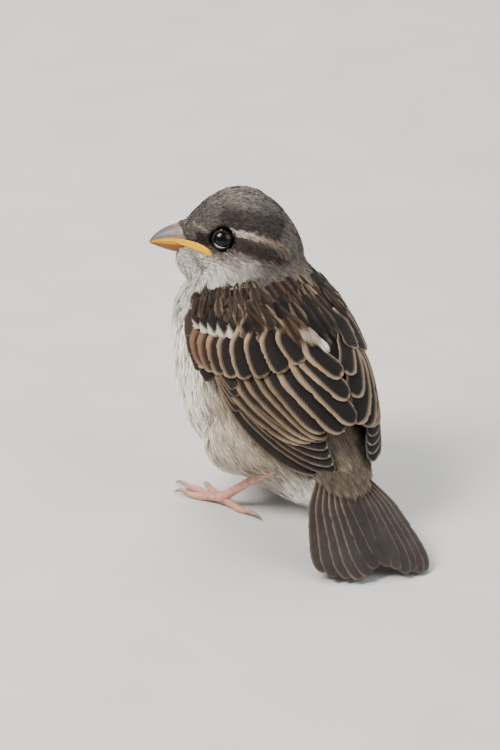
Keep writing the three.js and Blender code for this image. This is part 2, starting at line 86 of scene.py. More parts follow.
# Its fan and its swing to the left are in degrees, and its feathers begin at a share of its length.
TAIL = dict(root=(-0.5, -24, 20.5), length=44, root_fan=22, swing=20, half_width=2.7, begin=0.3,
            droop=1.25, lowest=0.6)
WING_CLOSING = dict(left=0, right=28, begin=0.48, end=0.78)  # degrees, growing from begin to end
WINGS = (("left", 1), ("right", -1))  # with the sign of their degrees round the back


def catmull(rows, t):
    """A smooth curve through rows of numbers, at t from 0 to 1."""
    rows = np.asarray(rows, float)
    last = len(rows) - 1
    padded = np.vstack([2 * rows[0] - rows[1], rows, 2 * rows[-1] - rows[-2]])
    x = np.clip(t, 0, 1) * last
    i = np.minimum(np.asarray(x).astype(int), last - 1)
    f = (x - i)[..., None]
    a, b, c, d = (padded[i + k] for k in range(4))
    cubic = (3 * b - a - 3 * c + d) * f**3
    return 0.5 * (2 * b + (c - a) * f + (2 * a - 5 * b + 4 * c - d) * f**2 + cubic)


def smooth(low, high, x):
    t = np.clip((x - low) / (high - low), 0, 1)
    return t * t * (3 - 2 * t)


def mix(a, b, t):
    return np.asarray(a) * (1 - t) + np.asarray(b) * t


def paint(colour, over, share):
    """Colours with another laid over them, by a share at each point."""
    return mix(colour, over, share[..., None])


def unit(v):
    return v / np.maximum(np.linalg.norm(v, axis=-1, keepdims=True), 1e-9)


def within(values, low, high):
    return (values > low) & (values < high)


def tube(stations):
    """The surface of a trunk-like form: place along it, degrees round it from the back, lift."""
    def surface(along, degrees, lift=0.0):
        along, degrees, lift = np.broadcast_arrays(*(np.asarray(v, float) for v in (along, degrees, lift)))
        columns = np.moveaxis(catmull(stations, along), -1, 0)
        back_y, back_z, belly_y, belly_z, wide, swing, narrowing = columns
        angle = np.radians(degrees)
        middle = np.stack([swing, (back_y + belly_y) / 2, (back_z + belly_z) / 2], -1)
        up = np.stack([0 * along, (back_y - belly_y) / 2, (back_z - belly_z) / 2], -1)
        height = np.linalg.norm(up, axis=-1)
        up = up / height[..., None]
        narrow = 1 - narrowing * smooth(-0.7, 0.35, -np.cos(angle))
        across = -(wide * narrow + lift) * np.sin(angle)
        rise = (height + lift) * np.cos(angle)
        return middle + up * rise[..., None] + np.stack([across, 0 * across, 0 * across], -1)
    return surface


trunk_point = tube(TRUNK)
wing_point = tube(WING)


def closing(name, along):
    """How many degrees one wing is closed further over the tail."""
    return WING_CLOSING[name] * smooth(WING_CLOSING["begin"], WING_CLOSING["end"], along)


def wing_surface(name, side):
    """The surface of one folded wing; degrees count outwards from the back on either side."""
    def surface(along, degrees, lift=0.0):
        return wing_point(along, side * (degrees - closing(name, along)), lift)
    return surface


HEAD_AXES = np.array((
    Matrix.Rotation(math.radians(HEAD_TURN), 3, "Z")
    @ Matrix.Rotation(math.radians(HEAD_NOD), 3, "X")
    @ Matrix.Rotation(math.radians(HEAD_TILT), 3, "Y")
))


def from_head(p):
    return np.asarray(p, float) @ HEAD_AXES.T + HEAD_PLACE


def to_head(p):
    return (p - np.array(HEAD_PLACE)) @ HEAD_AXES


eye_low, eye_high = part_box("eye_left")
SHIFT = np.array((eye_low + eye_high) / 2) / MM - from_head((-EYE_OUT, EYE_Y, EYE_Z))


def place(p):
    return (np.asarray(p) + SHIFT) * MM


def tail_point(along, degrees, lift=0.0):
    """The surface of the tail: place along it, degrees to the left of its middle line, lift."""
    heading = np.radians(TAIL["swing"] + degrees)
    distance = along * TAIL["length"]
    x, y, z = TAIL["root"]
    fall = (z - TAIL["lowest"]) * along ** TAIL["droop"]
    return np.stack(np.broadcast_arrays(
        x - distance * np.sin(heading), y - distance * np.cos(heading), z - fall + lift), -1)


# ---- Colours ----
def srgb(code):
    c = np.array([int(code[i:i + 2], 16) for i in (1, 3, 5)]) / 255
    return np.where(c <= 0.04045, c / 12.92, ((c + 0.055) / 1.055) ** 2.4)


CROWN = srgb("#4f4944")
# Painted light: laid over the top of the crown to make it paler, where the light from above falls.
CROWN_PAINTED_LIGHT = srgb("#82786f")
CROWN_DARK = srgb("#2b2522")
NAPE = srgb("#6b635b")
BROW = srgb("#aea291")
BROW_RUST = srgb("#84705a")
EYE_STRIPE = srgb("#2c231f")
LORES = srgb("#1e1815")
CHEEK = srgb("#8d867c")
THROAT = srgb("#bab5ac")
BREAST = srgb("#eee7dc")
FLANK = srgb("#a89b89")
PALE_EDGE = srgb("#a3998c")
VENT = srgb("#ddd7cd")
BLACK = srgb("#14100e")
SOOT = srgb("#1f1814")
BROWN = srgb("#382c24")
CHESTNUT = srgb("#4a3a2f")
RUFOUS = srgb("#684a35")
BUFF = srgb("#8d7a63")
CREAM = srgb("#d8cdbd")
WHITE = srgb("#ece6da")
RUMP = srgb("#706355")
RUMP_DARK = srgb("#463a2f")
TAIL_BROWN = srgb("#2a2321")
HORN = srgb("#61565a")
HORN_DARK = srgb("#453937")
PINK_HORN = srgb("#9d7468")
YELLOW = srgb("#dca000")
ORANGE = srgb("#7a4803")
AMBER = srgb("#8a5a34")
EYE_BLACK = srgb("#020202")
EYE_BROWN = srgb("#0a0605")
LID_PALE = srgb("#c4c0ba")
LEG_PINK = srgb("#bf8a79")
LEG_PALE = srgb("#e0b8a6")
LEG_DARK = srgb("#8a5a52")
CLAW = srgb("#a58472")
CLAW_TIP = srgb("#5f4a40")


# ---- Meshes and materials ----
def link(name, data):
    """A new object in the scene."""
    obj = bpy.data.objects.new(name, data)
    bpy.context.scene.collection.objects.link(obj)
    return obj


def make_object(name, points, faces, values, uv):
    """A mesh object from points in millimetres, faces of one size, and per-point attributes."""
    mesh = bpy.data.meshes.new(name)
    faces = np.asarray(faces, np.int32)
    count, corners = faces.shape
    mesh.vertices.add(len(points))
    mesh.vertices.foreach_set("co", place(points).astype(np.float32).ravel())
    mesh.loops.add(count * corners)
    mesh.loops.foreach_set("vertex_index", faces.ravel())
    mesh.polygons.add(count)
    mesh.polygons.foreach_set("loop_start", np.arange(count, dtype=np.int32) * corners)
    mesh.polygons.foreach_set("use_smooth", np.full(count, True))
    for key, data in values.items():
        data = np.asarray(data, np.float32)
        if data.ndim == 2:
            layer = mesh.color_attributes.new(key, "FLOAT_COLOR", "POINT")
            rgba = np.concatenate([data, np.ones((len(data), 1), np.float32)], 1)
            layer.data.foreach_set("color", rgba.ravel())
        else:
            mesh.attributes.new(key, "FLOAT", "POINT").data.foreach_set("value", data)
    layer = mesh.uv_layers.new(name="OFBake")
    layer.data.foreach_set("uv", np.asarray(uv, np.float32)[faces.ravel()].ravel())
    mesh.update()
    mesh.validate()
    return link(name, mesh)


def finish_piece(obj, material, slot, *nodes):
    """Gives an object its material, hangs it under the root and hides the solids that it stands for; slot
    is not used.
    """
    obj.data.materials.append(material)
    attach(obj, "root")
    if nodes:
        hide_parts(*nodes)


def grid_faces(rows, columns, wrap=False):
    """Quads between the points of a grid that is stored row by row."""
    i, j = np.meshgrid(np.arange(rows - 1), np.arange(columns if wrap else columns - 1), indexing="ij")
    a, b = i * columns + j, i * columns + (j + 1) % columns
    return np.stack([a, b, b + columns, a + columns], -1).reshape(-1, 4)


def halves(quads):
    """The two triangles of each quad."""
    return np.concatenate([quads[:, [0, 1, 2]], quads[:, [0, 2, 3]]])


def grid_uv(across, along):
    """Places in the bake map for such a grid."""
    return np.stack(np.broadcast_arrays(across[None, :], along[:, None]), -1).reshape(-1, 2)


class Shader:
    """A node material with a principled surface, and short ways to add nodes to it."""

    def __init__(self, name, **sockets):
        self.material = bpy.data.materials.new(name)
        self.material.use_nodes = True
        self.tree = self.material.node_tree
        self.surface = self.tree.nodes["Principled BSDF"]
        for key, value in sockets.items():
            self.surface.inputs[key.replace("_", " ")].default_value = value

    def add(self, kind, inputs=None, **settings):
        node = self.tree.nodes.new(kind)
        for key, value in settings.items():
            setattr(node, key, value)
        for key, value in (inputs or {}).items():
            if isinstance(value, bpy.types.NodeSocket):
                self.tree.links.new(value, node.inputs[key])
            else:
                node.inputs[key].default_value = value
        return node

    def link(self, value, socket):
        self.tree.links.new(value, self.surface.inputs[socket])

    def attribute(self, key, output="Color"):
        return self.add("ShaderNodeAttribute", attribute_name=key).outputs[output]

    def math(self, operation, a, b):
        return self.add("ShaderNodeMath", {0: a, 1: b}, operation=operation).outputs[0]

    def texture(self, kind, **inputs):
        inputs["Vector"] = self.add("ShaderNodeTexCoord").outputs["Object"]
        return self.add(kind, inputs).outputs[0]

    def noise(self, scale, detail):
        return self.texture("ShaderNodeTexNoise", Scale=scale, Detail=detail)

    def ramp(self, value, low, high, out_low=0.0, out_high=1.0):
        inputs = {"Value": value, 1: low, 2: high, 3: out_low, 4: out_high}
        return self.add("ShaderNodeMapRange", inputs).outputs[0]

    def mottle(self, scale, detail, darkest, palest):
        """A grey factor that changes from place to place."""
        return self.ramp(self.noise(scale, detail), 0.3, 0.7, darkest, palest)

    def blend(self, factor, a, b, kind="MIX"):
        inputs = {0: factor, 6: a, 7: b}
        return self.add("ShaderNodeMix", inputs, data_type="RGBA", blend_type=kind).outputs[2]

    def scale_colour(self, colour, factor):
        """The colour times a grey factor."""
        grey = self.add("ShaderNodeCombineColor", {0: factor, 1: factor, 2: factor}).outputs[0]
        return self.blend(1.0, colour, grey, "MULTIPLY")

    def bump(self, height, strength):
        inputs = {"Height": height, "Strength": strength, "Distance": 0.2 * MM}
        self.link(self.add("ShaderNodeBump", inputs).outputs[0], "Normal")


def marked(name, mottles, grain, bump, detail=3.0, scaly=False, **sockets):
    """A surface in the colours of its marking: each mottle is its scale, darkest and palest factor."""
    s = Shader(name, **sockets)
    colour = s.attribute("marking")
    for scale, darkest, palest in mottles:
        colour = s.scale_colour(colour, s.mottle(scale, detail, darkest, palest))
    s.link(colour, "Base Color")
    s.bump(s.texture("ShaderNodeTexVoronoi", Scale=grain) if scaly else s.noise(grain, detail), bump)
    return s.material


def make_vane_material():
    """A large feather: dark centre and paler margin, both drawn out along the barbs."""
    s = Shader("vanes", Roughness=0.7, Sheen_Weight=0.05, Sheen_Roughness=0.5, Specular_IOR_Level=0.18)
    inputs = {"W": s.attribute("barb", "Fac"), "Scale": 3.0, "Detail": 3.0, "Roughness": 0.7}
    streak = s.add("ShaderNodeTexNoise", inputs, noise_dimensions="1D").outputs[0]
    ragged = s.math("ADD", s.attribute("inside", "Fac"), s.ramp(streak, 0.3, 0.7, -0.26, 0.26))
    rim = s.scale_colour(s.attribute("edge_colour"), s.ramp(ragged, -0.75, -0.1, 1.25, 0.72))
    colour = s.blend(s.ramp(ragged, -0.4, 0.34), rim, s.attribute("centre_colour"))
    patches = s.ramp(s.noise(130, 2.0), 0.35, 0.65, 0.8, 1.12)
    tone = s.math("MULTIPLY", s.ramp(streak, 0.3, 0.7, 0.72, 1.22), patches)
    tone = s.math("MULTIPLY", tone, s.mottle(500, 3.0, 0.85, 1.15))
    s.link(s.scale_colour(colour, tone), "Base Color")
    s.bump(streak, 0.5)
    return s.material


def make_eye_material():
    """Nearly black, a little browner towards the lids."""
    s = Shader("eye", Roughness=0.14, Specular_IOR_Level=0.28)
    rim = s.ramp(s.attribute("rim", "Fac"), 0.25, 0.75)
    colour = s.blend(rim, (*EYE_BLACK, 1), (*EYE_BROWN, 1))
    s.link(s.scale_colour(colour, s.mottle(1500, 4.0, 0.7, 1.3)), "Base Color")
    return s.material


vane_material = make_vane_material()
eye_material = make_eye_material()
coat_material = marked("coat", [(2600, 0.8, 1.16), (240, 0.92, 1.08)], 3200, 0.25, 2.0, Roughness=0.8,
                       Sheen_Weight=0.08, Sheen_Roughness=0.5, Specular_IOR_Level=0.15)
skin_material = marked("skin", [(900, 0.45, 0.75)], 1500, 0.4, Roughness=0.8, Specular_IOR_Level=0.2)
horn_material = marked("horn", [(900, 0.86, 1.1)], 1400, 0.12, 4.0, Roughness=0.4, Specular_IOR_Level=0.35,
                       Coat_Weight=0.05, Coat_Roughness=0.3, Subsurface_Weight=0.12,
                       Subsurface_Scale=0.0006)
gape_material = marked("gape", [(1200, 0.9, 1.08)], 1800, 0.2, Roughness=0.42, Specular_IOR_Level=0.22,
                       Subsurface_Weight=0.1, Subsurface_Scale=0.0006)
lid_material = marked("lids", [(2500, 0.8, 1.15)], 3500, 0.4, Roughness=0.75, Specular_IOR_Level=0.2)
leg_material = marked("leg_skin", [(1100, 0.82, 1.12)], 1500, 0.35, 4.0, scaly=True, Roughness=0.5,
                      Specular_IOR_Level=0.4, Subsurface_Weight=0.15, Subsurface_Scale=0.0008)


# ---- The skin ----
class Lookup:
    """Finds where on a tube a point lies: place along it, degrees round it, direction along it."""

    def __init__(self, surface, rows=110, columns=180):
        along, around = np.meshgrid(np.linspace(0, 1, rows), np.linspace(-180, 180, columns), indexing="ij")
        grid = surface(along, around)
        self.along, self.around = along.ravel(), around.ravel()
        self.ahead = unit(np.gradient(grid, axis=0)).reshape(-1, 3)
        self.tree = KDTree(rows * columns)
        for i, p in enumerate(grid.reshape(-1, 3).tolist()):
            self.tree.insert(p, i)
        self.tree.balance()

    def __call__(self, points):
        found = np.array([self.tree.find(p)[1] for p in points.tolist()])
        return self.along[found], self.around[found], self.ahead[found]


on_trunk = Lookup(trunk_point)
on_wing = Lookup(wing_point)

FLESH = ("head", "neck", "trunk", "thigh_left", "thigh_right", "wing_left", "wing_right")
BODY_DEPTH = 1.1  # how far the skin lies below the tips of the coat
HEAD_DEPTH = 0.6
FACE_DEPTH = 0.45
WING_ROOM = 0.4  # how high the skin may stand over the surface that the wings' feathers lie on
VOXEL = 0.7  # cells of the remesh that joins the flesh


def above(plane, points):
    """Height above a plane that leans only fore and aft, given by two of its points."""
    (y0, z0), (y1, z1) = plane
    slope = (z1 - z0) / (y1 - y0)
    return (points[:, 2] - z0 - slope * (points[:, 1] - y0)) / math.hypot(1, slope)


def depth_at(points):
    """How far below the solids the skin lies."""
    depth = mix(BODY_DEPTH, HEAD_DEPTH, smooth(-3, 4, above(NECK_PLANE, points)))
    return mix(depth, FACE_DEPTH, smooth(4, 9, to_head(points)[:, 1]))


def over_wings(points):
    """Place along the wings' surface and degrees round it, the way out of it, and height over it."""
    along, around, _ = on_wing(points)
    foot = wing_point(along, around)
    outwards = unit(wing_point(along, around, 1.0) - foot)
    return along, around, outwards, ((points - foot) * outwards).sum(-1)


def pressed(points):
    """The points, none of them standing above the wings' surface, where the coverts lie."""
    _, around, outwards, height = over_wings(points)
    share = smooth(1.0, -1.5, above(BACK_PLANE, points)) * (np.abs(around) < 88)
    return points - outwards * (np.maximum(height - WING_ROOM, 0) * share)[:, None]


def read(items, key, kind=float):
    """A property of three numbers, of every item of a mesh."""
    values = np.empty(len(items) * 3, kind)
    items.foreach_get(key, values)
    return values.reshape(-1, 3)


def skin_mesh():
    """The flesh nodes as one smooth closed surface, sunk below the coat."""
    joined = bmesh.new()
    for node in FLESH:
        joined.from_mesh(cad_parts[node].data)
    mesh = bpy.data.meshes.new("skin_source")
    joined.to_mesh(mesh)
    joined.free()
    source = link("skin_source", mesh)
    remesh = source.modifiers.new("voxels", "REMESH")
    remesh.mode = "VOXEL"
    remesh.voxel_size = VOXEL * MM
    relax = source.modifiers.new("relax", "SMOOTH")
    relax.iterations = 12
    whole = bpy.data.meshes.new_from_object(source.evaluated_get(bpy.context.evaluated_depsgraph_get()))
    bpy.data.objects.remove(source)
    whole.calc_loop_triangles()
    points = read(whole.vertices, "co") / MM - SHIFT
    sunk = points - read(whole.vertices, "normal") * depth_at(points)[:, None]
    return pressed(sunk), read(whole.loop_triangles, "vertices", np.int32)


skin_points, skin_triangles = skin_mesh()
skin_tree = BVHTree.FromPolygons(skin_points.tolist(), skin_triangles.tolist())


def snap(points):
    """The nearest points of the skin, and the normals there."""
    places, normals = np.empty_like(points), np.empty_like(points)
    for i, p in enumerate(points.tolist()):
        places[i], normals[i], _, _ = skin_tree.find_nearest(p)
    return places, normals


def lie(points, normals):
    """Which way the coat lies: from the bill over the head, down the neck and along the trunk."""
    face = to_head(points)
    rear = smooth(8, -8, face[:, 1])
    below = smooth(-2, -9, face[:, 2])
    back = np.stack([0.12 * face[:, 0] * (1 - rear) / 8, -np.ones(len(points)),
                     -0.15 - 1.1 * rear - 0.35 * below], -1) @ HEAD_AXES.T
    _, _, down = on_trunk(points)
    share = smooth(-5, 4, above(NECK_PLANE, points))[:, None]
    way = unit(back) * share + down * (1 - share)
    way -= (way * normals).sum(-1, keepdims=True) * normals
    return unit(way)


# ---- Markings, and painted light on the crown ----
# Lines on the side of the head: forward of the middle of the head, and up.
BROW_LINE = [(3.1, 3.0), (0.2, 2.6), (-3.5, 1.9), (-7.0, 0.5), (-9.0, -0.8)]
STRIPE_LINE = [(2.0, 0.2), (-1.2, -0.9), (-5.2, -1.9), (-7.4, -3.4)]
LORES_LINE = [(10.8, 0.4), (9, 0.3), (7.4, 0.6)]
PALE_LORE_LINE = [(12.4, 2.5), (10.6, 2.5), (9.4, 2.1)]
DARK_CROWN_LINE = [(4.0, 5.2), (0.5, 5.4), (-3.5, 4.6), (-6.5, 3.4)]
MALAR_LINE = [(13.6, -3.2), (12.4, -4.8), (11.2, -6.2)]


def near_line(y, z, points, width):
    """1 on a broken line in the side view of the head, falling to 0 at its width."""
    best = np.full(y.shape, 1e9)
    for (y0, z0), (y1, z1) in zip(points, points[1:]):
        length = (y1 - y0) ** 2 + (z1 - z0) ** 2
        t = np.clip(((y - y0) * (y1 - y0) + (z - z0) * (z1 - z0)) / length, 0, 1)
        best = np.minimum(best, np.hypot(y - y0 - t * (y1 - y0), z - z0 - t * (z1 - z0)))
    return 1 - smooth(width * 0.55, width * 1.15, best)


def head_marking_and_painted_light(points):
    """The colours of the head, laid one over another, painted light on the top of the crown among them."""
    face = to_head(points)
    x, y, z = np.abs(face[:, 0]), face[:, 1], face[:, 2]
    z = z - 0.2 * (EYE_OUT - np.minimum(x, EYE_OUT))
    cheek = smooth(-0.9, -3.4, z + 0.18 * y) * smooth(-3.5, 2.5, y)
    throat = smooth(-4.6, -8.6, z - 0.5 * (y - 4)) * smooth(1, 7, y)
    chin = smooth(9.5, 12.5, y) * smooth(-2.5, -4.5, z)
    brow = near_line(y, z, BROW_LINE, 0.8) * mix(1, 0.75, smooth(0, -8, y))
    brow_colour = paint(paint(BROW, BROW_RUST, smooth(0, -7, y)), CREAM * 0.6, smooth(0.6, 1.8, y))
    round_eye = 1 - smooth(2.0, 2.7, np.hypot(y - LIDS_Y, z - LIDS_Z))
    colour = paint(NAPE, CROWN, smooth(-12, -2, y))
    for over, share in (
        # Painted light: the top of the crown made paler, where the light from above falls on it.
        (CROWN_PAINTED_LIGHT, smooth(-8, 2, y) * smooth(5.5, 10, z) * 0.5),
        (CROWN_DARK, near_line(y, z, DARK_CROWN_LINE, 3.0) * 0.85),
        (CHEEK, cheek),
        (THROAT, throat),
        (THROAT, chin),
        (CHEEK * 0.5, near_line(y, z, MALAR_LINE, 1.2) * 0.65),
        (EYE_STRIPE, near_line(y, z, STRIPE_LINE, 2.0) * 0.85),
        (brow_colour, brow * 0.85),
        (LORES, near_line(y, z, LORES_LINE, 1.5)),
        (CREAM, near_line(y, z, PALE_LORE_LINE, 0.4) * 0.15),
        (EYE_STRIPE, round_eye * 0.5),
    ):
        colour = paint(colour, over, share)
    return colour


def body_marking(points):
    along, around, _ = on_trunk(points)
    around = np.abs(around)
    under = smooth(62, 90, around + 14 * smooth(0.55, 0.85, along))
    flank = paint(FLANK, BREAST, smooth(84, 112, around + 40 * smooth(0.5, 0.2, along)))
    flank = paint(flank, VENT, smooth(0.6, 0.8, along))
    upper = paint(SOOT, RUMP, smooth(0.3, 0.42, along))
    neck_side = smooth(124, 84, around) * smooth(0.3, 0.1, along) * 0.7
    return paint(paint(upper, flank, under), mix(NAPE, CHEEK, 0.5), neck_side * under)


def marking(points):
    """The colour of skin and coat at each point: one pattern for both, with painted light on the top of the
    crown.
    """
    over_neck = smooth(-4.5, 0.5, above(BACK_PLANE, points))
    return paint(body_marking(points), head_marking_and_painted_light(points), over_neck)


# ---- The unwrap that the coat is baked on ----
PATCH = 0.003  # how much of the bake map one tuft takes, each way


def unwrap(points):
    """Places in the bake map: the head round its own axis above, the trunk round its own below."""
    along, around, _ = on_trunk(points)
    face = to_head(points)
    turn = np.degrees(np.arctan2(face[:, 0], face[:, 2]))
    forward = np.clip((face[:, 1] + 15) / 33, 0, 1)
    trunk_uv = np.stack([0.02 + 0.96 * (around + 180) / 360, 0.02 + 0.58 * along], -1)
    head_uv = np.stack([0.02 + 0.96 * (turn + 180) / 360, 0.64 + 0.34 * forward], -1)
    return np.where((above(NECK_PLANE, points) > 0)[:, None], head_uv, trunk_uv)


# ---- Tufts of barbs ----
BARB_WIDTHS = np.array([0.55, 1.0, 0.8, 0.08])  # half widths along a barb, as shares of its widest
STEPS = len(BARB_WIDTHS)


def skin_paths(roots, normals, length):
    """Paths from the roots over the skin, the way that the coat lies, with the normals on them."""
    heading = lie(roots, normals)
    heading = unit(heading + np.cross(normals, heading) * RNG.normal(0, 0.1, (len(roots), 1)))
    places, ups = [roots], [normals]
    for _ in range(STEPS - 1):
        spot, up = snap(places[-1] + heading * (length / (STEPS - 1))[:, None])
        heading = unit(heading - (heading * up).sum(-1, keepdims=True) * up)
        places.append(spot)
        ups.append(up)
    return np.stack(places, 1), np.stack(ups, 1)


def draped(paths, clearance):
    """The paths, lifted where they cross the wings' surface so that they lie over the first coverts."""
    points = paths.reshape(-1, 3)
    along, around, up, height = over_wings(points)
    short = np.maximum(clearance - height, 0) * (np.abs(around) < 84) * smooth(0.0, 0.05, along)
    return (points + up * short[:, None]).reshape(paths.shape)


def surface_paths(surface, root, tip, lift, under=False):
    """The same along straight lines of a surface's own coordinates."""
    t = np.linspace(0, 1, STEPS)[None, :, None]
    at = root[:, None] * (1 - t) + tip[:, None] * t
    places = surface(at[..., 0], at[..., 1], lift)
    ups = unit(surface(at[..., 0], at[..., 1], lift + 1) - places)
    return places, -ups if under else ups


def ribbon_faces(amount):
    """The faces of ribbons that have STEPS pairs of points each."""
    first = (np.arange(amount) * 2 * STEPS)[:, None, None]
    steps = np.arange(STEPS - 1) * 2
    quads = np.stack([steps, steps + 2, steps + 3, steps + 1], -1)
    return (first + halves(quads)).reshape(-1, 3)


def tufts(paths, ups, width, lift, barbs, centre, edge, sweep=0.35, fluff=0.0):
    """Points, faces, colours and bake places of contour feathers, each a fan of tapering barbs, with
    painted shade that darkens each barb towards its root.
    """
    count = len(paths)
    width, lift = np.ones(count) * width, np.ones(count) * lift
    centre, edge = np.ones((count, 1)) * centre, np.ones((count, 1)) * edge
    ahead = unit(np.gradient(paths, axis=1))
    side = unit(np.cross(ahead, ups))
    u = np.linspace(-1, 1, barbs)[None, :] + RNG.normal(0, 0.4 / barbs, (count, barbs))
    reach = (1 - sweep * u**2) * RNG.uniform(0.78, 1.0, (count, barbs))
    tau = reach[:, :, None] * np.linspace(0, 1, STEPS)
    x = tau * (STEPS - 1)
    i = np.minimum(x.astype(int), STEPS - 2)
    f = (x - i)[..., None]
    each = np.arange(count)[:, None, None]

    def between(values):
        return values[each, i] * (1 - f) + values[each, i + 1] * f

    up, across = unit(between(ups)), unit(between(side))
    spread = u[..., None] * (width / 2)[:, None, None] * np.sin(np.pi * np.clip(0.12 + 0.55 * tau, 0, 1))
    rise = np.sin(np.pi * np.clip(tau * 0.62, 0, 1)) - 0.25 + fluff * tau**3
    rise = rise * (1 - 0.25 * u[..., None] ** 2) + RNG.normal(0, 0.07, (count, barbs, 1))
    spine = between(paths) + across * spread[..., None] + up * (rise * lift[:, None, None])[..., None]
    roll = RNG.normal(0, 0.4, (count, barbs, 1, 1))
    flat = across * np.cos(roll) + up * np.sin(roll)
    half = (width / barbs * 0.75)[:, None, None] * BARB_WIDTHS
    points = np.stack([spine - flat * half[..., None], spine + flat * half[..., None]], 3).reshape(-1, 3)

    outer = 1 - (1 - smooth(0.25, 0.7, np.abs(u))[:, :, None]) * (1 - smooth(0.6, 1.0, tau))
    # Painted shade: each barb darkens from 1.06 at its tip to 0.66 at its root, where the tufts before it
    # lie over it; the random factor is the feathers' own tone.
    shade = mix(0.66, 1.06, smooth(0.0, 0.7, tau))[..., None] * RNG.normal(1, 0.09, (count, barbs, 1, 1))
    colour = paint(centre[:, None, None], edge[:, None, None], outer) * shade
    colour = np.repeat(colour[:, :, :, None, :], 2, 3).reshape(-1, 3)

    root_uv = unwrap(paths[:, 0])[:, None, None, None, :]
    local = np.stack(np.broadcast_arrays(u[..., None, None] * 0.5, tau[..., None] - 0.5), -1) * PATCH
    uv = (root_uv + np.repeat(local, 2, 3)).reshape(-1, 2)
    return points, ribbon_faces(count * barbs), np.clip(colour, 0, 1), uv


def coat_piece(name, paths, ups, width, lift, barbs, centre, edge, **ways):
    """Tufts as one mesh."""
    points, faces, colour, uv = tufts(paths, ups, width, lift, barbs, centre, edge, **ways)
    finish_piece(make_object(name, points, faces, {"marking": colour}, uv), coat_material, "plumage")


# ---- The places that tufts grow from ----
SAMPLES, QUICK_SAMPLES = 420000, 30000
ARM_BEGIN = 0.07  # along the wing, where its own feathers begin
MANTLE_TOP, COLLAR_END = 1.5, 0.6  # heights above the plane behind the neck
MIDRIFF = 0.42  # along the trunk, where breast becomes flank and belly
FACE_BEGIN, CHIN_TOP = 7.5, -3.2
BILL_BEGIN, BILL_WIDE, BILL_HIGH, BILL_RISE = 10, 3.7, 4.4, -0.3  # what the bill keeps free of tufts
EYE_MARGIN, EYE_AHEAD, EYE_SIDE = 0.22, 0.12, 5  # the same for the eyes


def scatter(amount):
    """Random points spread evenly over the skin, with its normals."""
    corners = skin_points[skin_triangles]
    area = np.linalg.norm(np.cross(corners[:, 1] - corners[:, 0], corners[:, 2] - corners[:, 0]), axis=1)
    chosen = RNG.choice(len(area), amount, p=area / area.sum())
    a, b = RNG.random((2, amount, 1))
    over = a + b > 1
    a, b = np.where(over, 1 - a, a), np.where(over, 1 - b, b)
    c = corners[chosen]
    return snap(c[:, 0] + a * (c[:, 1] - c[:, 0]) + b * (c[:, 2] - c[:, 0]))


ground, ground_normals = scatter(SAMPLES)


def is_bare(x, y, z):
    """Whether places on the head are kept free for the bill and the eyes."""
    in_bill = (y > BILL_BEGIN) & (np.hypot(x / BILL_WIDE, (z - BILL_RISE) / BILL_HIGH) < 1)
    in_eye = np.hypot(y - LIDS_Y - EYE_AHEAD, z - LIDS_Z) < EYE_OPENING + EYE_MARGIN
    return in_bill | (in_eye & (np.abs(x) > EYE_SIDE))


def is_hidden(wing_along, wing_around):
    """Whether the folded wings hide places, so that the body's coat leaves them out."""
    spread = np.abs(wing_around) + np.where(wing_around < 0, closing("right", wing_along), 0)
    middle = within(wing_along, 0.2, 0.56) & within(spread, 14, 64)
    tips = within(wing_along, 0.56, 0.68) & within(spread, 37, 52)
    return middle | tips


def find_regions():
    """Which places of the ground each coat grows from."""
    along, around, _ = on_trunk(ground)
    wing_along, wing_around, _ = on_wing(ground)
    around, wing_side = np.abs(around), np.abs(wing_around)
    x, y, z = to_head(ground).T
    neck, back = above(NECK_PLANE, ground), above(BACK_PLANE, ground)
    covered, below_back = ~is_bare(x, y, z), back < MANTLE_TOP
    on_body = covered & ~is_hidden(wing_along, wing_around)
    arm = within(wing_along, ARM_BEGIN, 0.34) & below_back & within(wing_side, 26, 80)
    mantle = on_body & below_back & (wing_side < 36) & (wing_along < 0.29 - 0.1 * smooth(8, 30, wing_side))
    rump = on_body & (wing_along >= 0.34) & (around < 66)

    # The collar is a band round the neck. What is left becomes the head and the underside.
    collar = (neck < 4) & (back > COLLAR_END) & (y < 3) & (around < 100)
    collar |= (back > -2.5) & (back <= COLLAR_END) & (around < 26)
    collar = covered & (collar | within(neck, -1, 2) & (around < 112) & (y < 9))
    shoulder = covered & ~collar & (neck < 1)
    shoulder &= within(wing_along, 0.005, ARM_BEGIN) & within(wing_side, 30, 84)
    under = on_body & ~arm & ~mantle & ~rump & ~shoulder & (neck <= -1)
    under &= ((around > 66) | (along > 0.5)) & ((back < 0) | (around > 88))
    rear = under & (along >= MIDRIFF)
    head = covered & (neck > -1) & ~collar & ((back > COLLAR_END) | (around > 88))
    return {
        "chin": head & (y > FACE_BEGIN) & (z < CHIN_TOP),
        "face": head & (y > FACE_BEGIN) & (z >= CHIN_TOP),
        "brow": head & (y > 1) & (y <= FACE_BEGIN),
        "crown": head & (y <= 1),
        "collar": collar,
        "shoulder": shoulder,
        "breast": under & (along < MIDRIFF),
        "flank": rear & (around < 118) & ((along < 0.9) | (around > 100)),
        "belly": rear & (around >= 118),
        "rump": rump,
        "mantle": mantle,
        "arm": covered & arm & (wing_along < 0.22),
    }


